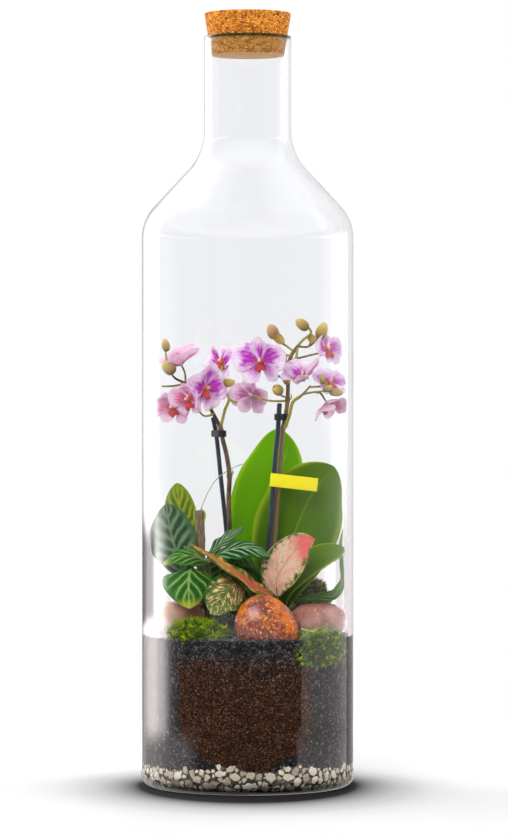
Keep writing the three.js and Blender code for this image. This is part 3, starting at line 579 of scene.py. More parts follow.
@dataclass(frozen=True)
class SharedEffect:
    """Effect of several finishes: a node group with a vector and values in, and values out."""

    name: str
    inputs: tuple[str, ...]
    outputs: tuple[str, ...]

    def fill(self, graph: Graph, given: Any) -> tuple[Socket, ...]:
        """Builds the nodes inside the group.

        Args:
            graph: Nodes of the group.
            given: Its inputs by name.

        Returns:
            A value for each output.
        """
        raise NotImplementedError

    def tree(self) -> bpy.types.NodeTree:
        """The group, made on the first call.

        Returns:
            The same node group on every call.
        """
        tree = bpy.data.node_groups.get(self.name)
        if tree is None:
            tree = bpy.data.node_groups.new(self.name, "ShaderNodeTree")
            tree.interface.new_socket("Vector", in_out="INPUT", socket_type="NodeSocketVector")
            for way, names in (("INPUT", self.inputs), ("OUTPUT", self.outputs)):
                for name in names:
                    tree.interface.new_socket(name, in_out=way, socket_type="NodeSocketFloat")
            graph = Graph(tree)
            values = self.fill(graph, tree.nodes.new("NodeGroupInput").outputs)
            end = tree.nodes.new("NodeGroupOutput")
            for name, value in zip(self.outputs, values):
                tree.links.new(value, end.inputs[name])
        return tree

    def use(self, graph: Graph, vector: Socket, *values: float) -> tuple[Socket, ...]:
        """Places the group in a material.

        Args:
            graph: Nodes of the material.
            vector: Coordinates.
            values: The other inputs in order.

        Returns:
            The outputs in order.
        """
        given = dict(zip(("Vector", *self.inputs), (vector, *values)))
        return tuple(graph.node("Group", given, node_tree=self.tree()).outputs)


class GrainEffect(SharedEffect):
    """Fine grain over broad patches."""

    def fill(self, graph: Graph, given: Any) -> tuple[Socket, ...]:
        """Builds two noises and their mix.

        Args:
            graph: Nodes of the group.
            given: Its inputs by name.

        Returns:
            The mix, from 0 to 1.
        """
        fine, broad = (
            graph.node("TexNoise", {"Vector": given["Vector"], "Scale": given[key], "Detail": detail}).outputs["Fac"]
            for key, detail in (("Fine", 3.0), ("Broad", 4.0)))
        return (graph.blend(given["Share"], broad, fine),)


class CrumbEffect(SharedEffect):
    """Crumbs with bent outlines."""

    def fill(self, graph: Graph, given: Any) -> tuple[Socket, ...]:
        """Builds cells on bent coordinates.

        Args:
            graph: Nodes of the group.
            given: Its inputs by name.

        Returns:
            A value of its own for each crumb, and 0 at its edge rising to 1 inside.
        """
        bend = graph.node("TexNoise", {"Vector": given["Vector"], "Scale": given["Bend"]}).outputs["Color"]
        bent = graph.node("Mix", {0: given["Shift"], 4: given["Vector"], 5: bend}, data_type="VECTOR").outputs[1]
        own = graph.node("SeparateColor", {0: graph.cells(bent, given["Scale"], "Color")}).outputs[0]
        edge = graph.cells(bent, given["Scale"], feature="DISTANCE_TO_EDGE")
        return own, graph.ease(edge, 0.0, given["Rim"])


GRAIN = GrainEffect("grain", ("Fine", "Broad", "Share"), ("Value",))
CRUMBS = CrumbEffect("crumbs", ("Bend", "Shift", "Scale", "Rim"), ("Own", "Edge"))


def grain(graph: Graph, vector: Socket, fine: float, broad: float, share: float = 0.5) -> Socket:
    """Value from 0 to 1 of fine grain over broad patches, with the share of the grain."""
    return GRAIN.use(graph, vector, fine, broad, share)[0]


@dataclass(frozen=True)
class GlassFinish(Finish):
    """Clear blown glass, teal where it is thick at the foot, tinted dark at the rim as a painted reflection."""

    name: str = "clear_glass"
    clear: Color = (0.975, 0.982, 0.998)
    teal: Color = (0.44, 0.75, 0.78)
    # Dark tint of the rim: a painted reflection.
    rim: Color = (0.16, 0.26, 0.30)
    ior: float = 1.47
    foot_heights: Pair = (0.002, 0.0085)
    painted_rim_heights: Pair = (0.6340, 0.6362)
    ripple: float = 0.00006

    def dress(self, graph: Graph) -> None:
        """Builds clear glass that lets light through to what it holds.

        Args:
            graph: Nodes of the material.
        """
        spot = graph.place()
        height = graph.node("SeparateXYZ", {0: spot}).outputs["Z"]
        color = graph.mix(graph.ease(height, *self.foot_heights), self.teal, self.clear)
        # Painted reflection: the glass is tinted dark at the top of the rim.
        color = graph.mix(graph.ease(height, *self.painted_rim_heights), color, self.rim)
        glass = graph.node("BsdfPrincipled", {
            "Base Color": color, "Roughness": 0.0, "IOR": self.ior, "Transmission Weight": 1.0,
            "Normal": graph.bump(graph.noise(spot, 14.0, 1.0), self.ripple)}).outputs[0]
        clear = graph.node("BsdfTransparent").outputs[0]
        ray = graph.node("LightPath").outputs["Is Shadow Ray"]
        graph.node("OutputMaterial", {0: graph.node("MixShader", {0: ray, 1: glass, 2: clear}).outputs[0]})


@dataclass(frozen=True)
class CorkFinish(Finish):
    """Pressed cork granules, with painted shade in the crevices between them and painted warm light in the mouth of the
    bottle.
    """

    name: str = "pressed_cork"
    light: Color = (0.74, 0.31, 0.060)
    middle: Color = (0.46, 0.165, 0.028)
    dark: Color = (0.11, 0.032, 0.008)
    pale: Color = (0.88, 0.46, 0.13)
    # Painted light in the mouth of the bottle: a warming tint and a faint glow.
    mouth_light_paint: Color = (1.10, 0.90, 0.52)
    mouth_glow_paint: Color = (1.0, 0.52, 0.13)
    under: Color = (1.0, 0.66, 0.37)
    granules: float = 640.0
    mouth_heights: Pair = (0.6345, 0.6385)
    under_heights: Pair = (0.6213, 0.6221)

    def dress(self, graph: Graph) -> None:
        """Builds granules of several browns, with painted warm light and a faint painted glow in the mouth of the
        bottle, and paler underneath.

        Args:
            graph: Nodes of the material.
        """
        spot = graph.place((1, 1, 1.35))
        own, edge = CRUMBS.use(graph, spot, 260.0, 0.004, self.granules, 0.09)
        color = graph.ramp(own, (0.0, self.dark), (0.16, self.middle), (0.5, self.light), (0.85, self.pale),
                           (1.0, self.middle))
        height = graph.times(edge, graph.ease(grain(graph, spot, 1400.0, 160.0), 0.34, 0.5))
        # Painted shade: the crevices between the granules are darkened towards the dark brown.
        color = graph.mix(graph.scale(height, 0.75, 0.25), self.dark, color)
        level = graph.node("SeparateXYZ", {0: graph.place()}).outputs["Z"]
        mouth = graph.left(graph.ease(level, *self.mouth_heights))
        # Painted light: in the mouth of the bottle the cork is tinted warmer and given a faint glow.
        color = graph.mix(mouth, graph.mix(1.0, color, self.mouth_light_paint, "MULTIPLY"), color)
        color = graph.over(color, self.mouth_glow_paint, mouth, 0.15)
        color = graph.over(color, self.under, graph.left(graph.ease(level, *self.under_heights)), 0.8)
        graph.surface(color, 0.85, 0.2, graph.bump(height, 0.0006, 0.8))


@dataclass(frozen=True)
class StoneFinish(Finish):
    """Polished tumbled stone: two shades in clouds, with dark veins, pale specks and painted highlight spots."""

    name: str
    cloud: tuple[Color, Color]
    dark: Color
    fleck: Color
    patch: float = 60.0
    flecks: float = 0.35
    roughness: float = 0.3
    coat: float = 0.3
    # Painted highlights: pale spots that stand in for light on the polish, and their colour.
    painted_highlights: tuple[tuple[Point, float, float], ...] = ()
    highlight_paint: Color = (0.92, 0.62, 0.52)

    def _paint_highlights(self, graph: Graph, spot: Socket, color: Socket) -> Socket:
        """Colour with its painted highlights: pale spots that stand in for light on the polish, each at a place in
        millimetres with a radius and a strength.

        Args:
            graph: Nodes of the material.
            spot: Coordinates.
            color: Colour under the spots.

        Returns:
            The new colour.
        """
        for at, radius, strength in self.painted_highlights:
            middle = tuple(v * MM for v in at)
            away = graph.node("VectorMath", {0: spot, 1: middle}, operation="DISTANCE").outputs["Value"]
            near = graph.left(graph.ease(away, 0.0, radius * MM))
            # Painted highlight: the spot is laid over in the pale highlight colour.
            color = graph.over(color, self.highlight_paint, near, strength)
        return color

    def dress(self, graph: Graph) -> None:
        """Builds clouds, veins and flecks under a polish, with painted highlight spots.

        Args:
            graph: Nodes of the material.
        """
        spot = graph.place()
        clouds = grain(graph, spot, self.patch * 4.5, self.patch, 0.4)
        fine = graph.noise(spot, self.patch * 11, 3.0, 0.7)
        color = graph.mix(graph.ease(clouds, 0.44, 0.57), *self.cloud)
        shade = graph.ease(graph.noise(spot, self.patch * 3.2, 4.0, 0.65), 0.52, 0.66)
        color = graph.over(color, self.dark, shade, 0.7)
        color = graph.over(color, self.dark, graph.ease(fine, 0.5, 0.36), 0.5)
        bright = graph.ease(graph.noise(spot, self.patch * 7.5, 2.0, 0.6), 0.62 - self.flecks * 0.2, 0.66)
        color = graph.over(color, self.fleck, bright, 0.8)
        color = self._paint_highlights(graph, spot, color)
        worn = graph.scale(clouds, 0.3, self.roughness - 0.15)
        graph.surface(color, worn, 0.4, graph.bump(fine, 0.0004, 0.4), coat=self.coat)


@dataclass(frozen=True)
class GrainyFinish(Finish):
    """Loose or fibrous stuff: crumbs of several colours with pores between them."""

    name: str
    colors: tuple[Color, Color, Color, Color]
    crumb: float = 600.0
    relief: float = 0.001
    roughness: float = 0.9
    gloss: float = 0.3

    def dress(self, graph: Graph) -> None:
        """Builds crumbs, each with its own colour, with painted shade in the pores between them.

        Args:
            graph: Nodes of the material.
        """
        spot = graph.place()
        own, edge = CRUMBS.use(graph, spot, self.crumb * 0.6, 0.9 / self.crumb, self.crumb, 0.12)
        a, b, c, d = self.colors
        color = graph.ramp(own, (0.05, a), (0.4, b), (0.78, c), (0.98, d))
        pores = graph.ease(grain(graph, spot, self.crumb * 1.6, self.crumb * 0.22, 0.55), 0.36, 0.6)
        height = graph.times(pores, edge)
        # Painted shade: the pores between the crumbs are darkened towards the darkest colour.
        color = graph.mix(graph.scale(height, 0.8, 0.2), a, color)
        graph.surface(color, self.roughness, self.gloss, graph.bump(height, self.relief))


@dataclass(frozen=True)
class TonedFinish(Finish):
    """Small separate bodies, each with its own tone between two or three colours."""

    name: str
    colors: tuple[Color, Color, Color]
    roughness: float = 0.6
    fine: float = 900.0
    relief: float = 0.0003
    through: float = 0.0
    gloss: float = 0.5

    def dress(self, graph: Graph) -> None:
        """Builds a colour for each body, with fine grain on it.

        Args:
            graph: Nodes of the material.
        """
        spot = graph.place()
        speck = grain(graph, spot, self.fine, self.fine * 0.15, 0.5)
        mixed = graph.plus(graph.times(graph.tone(), 0.7),
                           graph.scale(speck, 0.7, -0.2))
        color = graph.ramp(mixed, (0.1, self.colors[0]), (0.5, self.colors[1]), (0.9, self.colors[2]))
        graph.surface(color, self.roughness, self.gloss, graph.bump(speck, self.relief), self.through, color)


@dataclass(frozen=True)
class OrchidLeafFinish(Finish):
    """Thick satin leaf with faint parallel veins and a sunken rib."""

    name: str = "orchid_leaf_green"
    deep: Color = (0.045, 0.165, 0.003)
    bright: Color = (0.190, 0.460, 0.004)
    # Pale yellow-green of the painted rim light at the edge; the rib and the light let through take it too.
    rim: Color = (0.48, 0.70, 0.03)
    through: float = 0.5

    def dress(self, graph: Graph) -> None:
        """Builds green that pales to the edge in a painted rim of light, with veins along the leaf.

        Args:
            graph: Nodes of the material.
        """
        away, across, along = graph.shape()
        spot = graph.place()
        patches = grain(graph, spot, 500.0, 28.0, 0.25)
        veins = graph.calc("SINE", graph.times(across, 46.0))
        edge = graph.ease(away, 0.80, 1.0)
        rise = graph.plus(graph.times(along, 0.8), graph.scale(patches, 0.5, -0.25))
        color = graph.mix(graph.ease(rise, 0.1, 0.8), self.deep, self.bright)
        # Painted rim light: the edge is laid over with the pale yellow-green.
        color = graph.over(color, self.rim, edge, 0.7)
        rib = graph.left(graph.ease(away, 0.0, 0.05))
        color = graph.over(color, self.rim, rib, 0.35)
        height = graph.plus(graph.times(veins, 0.15), patches)
        lit = graph.mix(edge, self.bright, self.rim)
        lit = graph.mix(0.45, lit, self.rim)
        graph.surface(color, 0.48, 0.2, graph.bump(height, 0.0003), self.through, lit)


@dataclass(frozen=True)
class StripedLeafFinish(Finish):
    """Prayer-plant leaf: pale stripes run from the rib to the edge, with dark patches between them."""

    slot: ClassVar[str] = "striped_leaf"
    name: str
    dark: Color = (0.012, 0.055, 0.022)
    green: Color = (0.035, 0.150, 0.040)
    pale: Color = (0.30, 0.48, 0.27)
    tip: Color = (0.45, 0.50, 0.05)
    stripes: float = 9.0
    lean: float = 0.30
    pale_width: float = 0.3
    through: float = 0.25
    tip_share: float = 0.0

    def dress(self, graph: Graph) -> None:
        """Builds stripes that lean towards the tip.

        Args:
            graph: Nodes of the material.
        """
        away, _, along = graph.shape()
        spot = graph.place()
        wobble = graph.scale(graph.noise(spot, 120.0, 2.0), 0.10, -0.05)
        lean = graph.times(graph.calc("POWER", away, 0.85), self.lean)
        phase = graph.minus(graph.plus(along, wobble), lean)
        wave = graph.calc("SINE", graph.times(phase, 2 * math.pi * self.stripes))
        fade = graph.left(graph.ease(away, 0.62, 0.98))
        stripe = graph.times(graph.ease(wave, 1 - 2 * self.pale_width, 0.95), fade)
        blotch = graph.times(graph.ease(wave, 0.1, -0.7), fade)
        color = graph.mix(blotch, self.green, self.dark)
        color = graph.over(color, self.pale, stripe, 0.85)
        rib = graph.left(graph.ease(away, 0.02, 0.07))
        color = graph.over(color, self.pale, rib, 0.8)
        color = graph.over(color, self.tip, graph.ease(along, 0.78, 1.0), self.tip_share)
        height = graph.plus(graph.times(wave, 0.4), grain(graph, spot, 1500.0, 90.0, 0.4))
        lit = graph.mix(0.5, color, (0.45, 0.65, 0.06))
        graph.surface(color, 0.5, 0.22, graph.bump(height, 0.0005), self.through, lit)


@dataclass(frozen=True)
class SpeckledLeafFinish(Finish):
    """Aglaonema leaf: a pale or pink middle that breaks into green specks towards its edge."""

    slot: ClassVar[str] = "speckled_leaf"
    name: str
    middle: Color
    blush: Color
    green: Color = (0.045, 0.170, 0.018)
    cream: Color = (0.62, 0.55, 0.22)
    green_from: float = 0.62
    specks: float = 0.55
    rib_color: Color = (0.72, 0.13, 0.16)
    rib_width: float = 0.08
    blush_from: float = 0.65
    through: float = 0.35
    fineness: float = 3.2
    rim: float = 0.4

    def dress(self, graph: Graph) -> None:
        """Builds the middle, the rib and the specks.

        Args:
            graph: Nodes of the material.
        """
        away, across, along = graph.shape()
        spot = graph.place()
        flow = graph.minus(along, graph.times(away, 0.35))
        streak = graph.node("CombineXYZ", {0: graph.times(across, 2.2),
                                           1: graph.times(flow, 12.0), 2: 0.0}).outputs[0]
        flecks = graph.noise(streak, self.fineness, 3.0, 0.65)
        fine = graph.noise(spot, 330.0, 2.0)
        edge = graph.plus(away, graph.scale(fine, 1.1, -0.55))
        turned = graph.plus(along, graph.times(across, 0.12))
        color = graph.mix(graph.ease(turned, self.blush_from, self.blush_from + 0.22), self.middle, self.blush)
        vein = graph.calc("SINE", graph.times(flow, 26.0))
        color = graph.over(color, self.blush, graph.ease(vein, 0.3, 1.0), 0.25)
        green = graph.mix(graph.ease(graph.noise(spot, 200.0, 2.0), 0.45, 0.6), self.green, self.cream)
        mask = graph.ease(edge, self.green_from, self.green_from + 0.16)
        loose = graph.times(graph.ease(flecks, 1.0 - self.specks - 0.08, 1.0 - self.specks), 0.9)
        mask = graph.calc("MAXIMUM", mask, loose)
        rim = graph.times(graph.ease(away, 0.93, 0.98), self.rim)
        mask = graph.times(mask, graph.left(rim))
        color = graph.mix(mask, color, green)
        rib = graph.left(graph.ease(away, self.rib_width * 0.5, self.rib_width * 1.4))
        color = graph.over(color, self.rib_color, rib, 0.85)
        height = graph.plus(graph.times(vein, 0.3), fine)
        lit = graph.mix(0.35, color, (0.9, 0.75, 0.45))
        graph.surface(color, 0.5, 0.25, graph.bump(height, 0.0004), self.through, lit)


@dataclass(frozen=True)
class PetalFinish(Finish):
    """Orchid petal: strong near its foot, fading in fine streaks to a nearly white edge."""

    name: str
    core: Color = (0.62, 0.085, 0.68)
    vein: Color = (0.52, 0.035, 0.56)
    edge: Color = (0.98, 0.92, 0.98)
    foot: Color = (0.97, 0.84, 0.88)
    through: float = 0.5

    def dress(self, graph: Graph) -> None:
        """Builds the shades from the foot of the petal to its edge.

        Args:
            graph: Nodes of the material.
        """
        away, across, along = graph.shape()
        spot = graph.place()
        patch = graph.scale(grain(graph, spot, 400.0, 90.0, 0.2), 1.3, -0.65)
        fan = graph.times(across, graph.scale(along, 12.0, 14.0))
        veins = graph.ease(graph.calc("SINE", graph.plus(fan, graph.times(patch, 6.0))), -0.4, 1.0)
        streak = graph.scale(veins, 0.08, patch)
        side = graph.left(graph.ease(graph.minus(away, streak), 0.15, 1.15))
        tip = graph.left(graph.ease(graph.minus(along, streak), 0.12, 0.95))
        strength = graph.times(graph.times(side, tip), graph.tone(), clamp=True)
        strength = graph.times(strength, 1.45, clamp=True)
        strong = graph.over(self.core, self.vein, veins, 0.5)
        color = graph.mix(strength, self.edge, strong)
        foot = graph.left(graph.ease(along, 0.02, 0.16))
        color = graph.over(color, self.foot, foot, 0.6)
        graph.surface(color, 0.6, 0.2, graph.bump(graph.plus(veins, patch), 0.0002), self.through, color)


@dataclass(frozen=True)
class BudFinish(Finish):
    """Closed bud: brown at its foot and golden olive to its tip, with some blush."""

    name: str
    foot: Color = (0.11, 0.048, 0.022)
    body: Color = (0.42, 0.30, 0.065)
    tip: Color = (0.68, 0.54, 0.15)
    blush: Color = (0.46, 0.22, 0.17)

    def dress(self, graph: Graph) -> None:
        """Builds the shades along the bud.

        Args:
            graph: Nodes of the material.
        """
        _, _, along = graph.shape()
        spot = graph.place()
        value = grain(graph, spot, 1500.0, 260.0, 0.45)
        place = graph.plus(along, graph.scale(value, 0.5, -0.25))
        color = graph.ramp(place, (0.08, self.foot), (0.45, self.body), (0.85, self.tip), (1.0, self.foot))
        blush = graph.ease(graph.plus(graph.tone(), value), 0.9, 1.35)
        color = graph.over(color, self.blush, blush, 0.75)
        graph.surface(color, 0.42, 0.4, graph.bump(value, 0.0003), 0.12, color)


@dataclass(frozen=True)
class StemFinish(Finish):
    """Living stem: two shades in long streaks, with paler specks."""

    name: str
    dark: Color
    light: Color
    roughness: float = 0.5
    streak: float = 0.2

    def dress(self, graph: Graph) -> None:
        """Builds streaks along the height.

        Args:
            graph: Nodes of the material.
        """
        spot = graph.place((1, 1, self.streak))
        value = grain(graph, spot, 1300.0, 220.0, 0.45)
        warm = graph.ease(graph.plus(value, graph.scale(graph.tone(), 0.3, -0.05)), 0.4, 0.66)
        color = graph.mix(warm, self.dark, self.light)
        graph.surface(color, self.roughness, 0.4, graph.bump(value, 0.0003))


@dataclass(frozen=True)
class MadeFinish(Finish):
    """Made thing: one colour with fine moulding grain and worn patches."""

    name: str
    color: Color
    worn: Color
    roughness: float = 0.45
    fine: float = 1600.0
    relief: float = 0.00006

    def dress(self, graph: Graph) -> None:
        """Builds the grain and the wear.

        Args:
            graph: Nodes of the material.
        """
        spot = graph.place()
        value = grain(graph, spot, self.fine, 90.0, 0.5)
        color = graph.mix(graph.ease(value, 0.45, 0.75), self.color, self.worn)
        rough = graph.scale(value, 0.2, self.roughness - 0.1)
        graph.surface(color, rough, 0.5, graph.bump(value, self.relief))


@dataclass(frozen=True)
class FloorFinish(Finish):
    """Pale studio floor with a painted soft shadow round the foot of the bottle, reaching further towards the front."""

    name: str = "studio_floor"
    color: Color = (0.53, 0.53, 0.53)
    # Painted shadow: distance from the bottle's axis in millimetres and the share of the floor's colour kept there.
    stops: tuple[Pair, ...] = (
        (92, 0.03), (98, 0.22), (104, 0.36), (113, 0.52), (122, 0.64), (131, 0.73), (141, 0.79), (151, 0.87),
        (163, 0.94), (190, 1.0))
    forward: float = 0.69

    def dress(self, graph: Graph) -> None:
        """Builds the pale ground and its painted soft shadow.

        Args:
            graph: Nodes of the material.
        """
        spot = graph.place()
        split = graph.node("SeparateXYZ", {0: spot}).outputs
        front = graph.times(graph.calc("MINIMUM", split["Y"], 0.0), self.forward)
        depth = graph.plus(front, graph.calc("MAXIMUM", split["Y"], 0.0))
        away = graph.calc("SQRT", graph.plus(graph.times(split["X"], split["X"]),
                                             graph.times(depth, depth)))
        # Painted shadow round the foot of the bottle, stretched towards the front.
        shade = graph.ramp(graph.times(away, 5.0), *((mm / 200, (v,) * 3) for mm, v in self.stops))
        cloud = graph.ramp(graph.noise(spot, 9.0, 2.0), (0.3, (0.97, 0.97, 0.97)), (0.7, (1.0, 1.0, 1.0)))
        color = graph.mix(1.0, graph.mix(1.0, self.color, shade, "MULTIPLY"), cloud, "MULTIPLY")
        graph.surface(color, 0.9, 0.1)


class Palette(Enum):
    """Finishes by the thing that they cover."""

    GLASS = GlassFinish()
    CORK = CorkFinish()
    # The last setting of each stone gives its painted highlights: pale spots that stand in for light on the polish.
    RUST_STONE = StoneFinish("stone_rust", ((0.24, 0.050, 0.040), (0.74, 0.150, 0.004)), (0.060, 0.016, 0.020),
                             (0.86, 0.42, 0.06), 56.0, 0.35, painted_highlights=(((5, -76, 151), 9.0, 0.55),))
    COPPER_LEFT = StoneFinish("stone_copper_left", ((0.40, 0.150, 0.080), (0.52, 0.215, 0.125)), (0.22, 0.085, 0.050),
                              (0.58, 0.28, 0.19), 34.0, 0.0, 0.24, 0.6, (((-70, -36, 149), 24.0, 0.75),))
    COPPER_RIGHT = StoneFinish("stone_copper_right", ((0.34, 0.120, 0.090), (0.46, 0.185, 0.130)), (0.16, 0.055, 0.042),
                               (0.55, 0.27, 0.20), 34.0, 0.0, 0.24, 0.6,
                               (((48, -29, 141), 8.0, 0.25), ((58, -30, 144), 8.0, 0.3), ((70, -27, 148), 9.0, 0.45)))
    SOIL = GrainyFinish("potting_soil", ((0.014, 0.006, 0.004), (0.086, 0.034, 0.019), (0.23, 0.085, 0.040),
                                         (0.50, 0.27, 0.13)), 1050.0, 0.0008, 0.8, 0.2)
    GRIT_BED = GrainyFinish("grit_bed", ((0.006, 0.005, 0.005), (0.028, 0.025, 0.026), (0.075, 0.070, 0.072),
                                         (0.30, 0.29, 0.30)), 640.0, 0.001, 0.6, 0.4)
    GRIT = TonedFinish("grit_grain", ((0.003, 0.003, 0.004), (0.030, 0.028, 0.031), (0.26, 0.25, 0.26)),
                       0.38, 1500.0, 0.0003)
    PUMICE = TonedFinish("pumice_chip", ((0.34, 0.27, 0.19), (0.76, 0.66, 0.52), (1.0, 0.95, 0.80)), 0.9, 420.0,
                         0.0022)
    PUMICE_BED = GrainyFinish("pumice_bed", ((0.055, 0.042, 0.032), (0.24, 0.185, 0.14), (0.50, 0.42, 0.31),
                                             (0.74, 0.65, 0.50)), 420.0, 0.002)
    MOSS = TonedFinish("moss_green", ((0.014, 0.040, 0.002), (0.210, 0.360, 0.004), (0.64, 0.72, 0.024)), 0.8,
                       700.0, 0.0002, 0.35, 0.15)
    MOSS_BROWN = TonedFinish("moss_olive", ((0.045, 0.050, 0.010), (0.28, 0.29, 0.065), (0.58, 0.52, 0.17)),
                             0.8, 700.0, 0.0002, 0.3, 0.15)
    ORCHID_LEAF = OrchidLeafFinish()
    SHADE_LEAF = OrchidLeafFinish("orchid_leaf_shade", (0.048, 0.135, 0.002), (0.110, 0.235, 0.003),
                                  (0.36, 0.52, 0.02), 0.22)
    CROWN = StemFinish("crown_green", (0.045, 0.11, 0.01), (0.13, 0.23, 0.03))
    STEM = StemFinish("spike_brown", (0.036, 0.020, 0.015), (0.19, 0.125, 0.062))
    TWIG = StemFinish("twig_olive", (0.075, 0.050, 0.016), (0.33, 0.29, 0.045))
    BUD = BudFinish("bud_golden")
    STUB = StemFinish("stub_brown", (0.085, 0.055, 0.030), (0.26, 0.19, 0.10))
    BRACT = StemFinish("bract_green", (0.11, 0.20, 0.02), (0.36, 0.50, 0.06))
    STALK = StemFinish("stalk_green", (0.05, 0.10, 0.02), (0.20, 0.26, 0.06))
    DRY_ROOT = StemFinish("dry_root", (0.22, 0.22, 0.21), (0.42, 0.41, 0.38), 0.7)
    PETAL = PetalFinish("petal_face")
    PETAL_PINK = PetalFinish("petal_pink", (0.80, 0.19, 0.46), (0.74, 0.12, 0.30), (0.97, 0.80, 0.92),
                             (0.97, 0.66, 0.70))
    PETAL_DUSTY = PetalFinish("petal_dusty", (0.42, 0.15, 0.28), (0.34, 0.09, 0.16), (0.74, 0.56, 0.68),
                              (0.72, 0.38, 0.44))
    PETAL_BACK = PetalFinish("petal_back", (0.66, 0.24, 0.50), (0.60, 0.16, 0.40), (0.92, 0.78, 0.88),
                             (0.80, 0.56, 0.50))
    LIP = TonedFinish("lip_red", ((0.50, 0.02, 0.05), (0.76, 0.10, 0.07), (0.90, 0.40, 0.24)), 0.45, 700.0,
                      0.0002, 0.3)
    COLUMN = TonedFinish("column_pink", ((0.78, 0.36, 0.50), (0.90, 0.64, 0.70), (0.95, 0.86, 0.86)), 0.45,
                         700.0, 0.0002, 0.25)
    STAKE = MadeFinish("stake_dark", (0.018, 0.026, 0.040), (0.05, 0.06, 0.075), 0.42)
    CLIP = MadeFinish("clip_dark", (0.012, 0.014, 0.020), (0.03, 0.032, 0.04), 0.4)
    TAG = MadeFinish("tag_yellow", (0.88, 0.76, 0.004), (0.92, 0.82, 0.02), 0.6)
    FLOOR = FloorFinish()

    def material(self) -> bpy.types.Material:
        """The material of this finish."""
        return self.value.material()


# ---------- Bottle and cork ----------


def deselect() -> None:
    """Leaves nothing selected, so that an operator acts on the new piece alone."""
    bpy.ops.object.select_all(action="DESELECT")


def bevel(width: float, segments: int, select: str = "SELECT") -> None:
    """Rounds the edges of the active piece.

    Args:
        width: Width of the bevel in millimetres.
        segments: Its steps.
        select: Action on the selection before it, or nothing to keep what is selected.
    """
    bpy.ops.object.mode_set(mode="EDIT")
    if select:
        bpy.ops.mesh.select_all(action=select)
    bpy.ops.mesh.bevel(offset=width * MM, segments=segments)
    bpy.ops.object.mode_set(mode="OBJECT")


def settle(piece: Piece, look: Palette, slot: str, node: str) -> None:
    """Bakes the place of a piece made with operators, smooths it, dresses it and places it.

    Args:
        piece: The piece.
        look: Its finish.
        slot: Not used, only passed on to place.
        node: Node of the model that it stands for.
    """
    bpy.ops.object.transform_apply(location=True, rotation=True, scale=True)
    bpy.ops.object.shade_smooth_by_angle(angle=SHARP)
    piece.data.materials.clear()
    piece.data.materials.append(look.material())
    place(piece, slot, node)


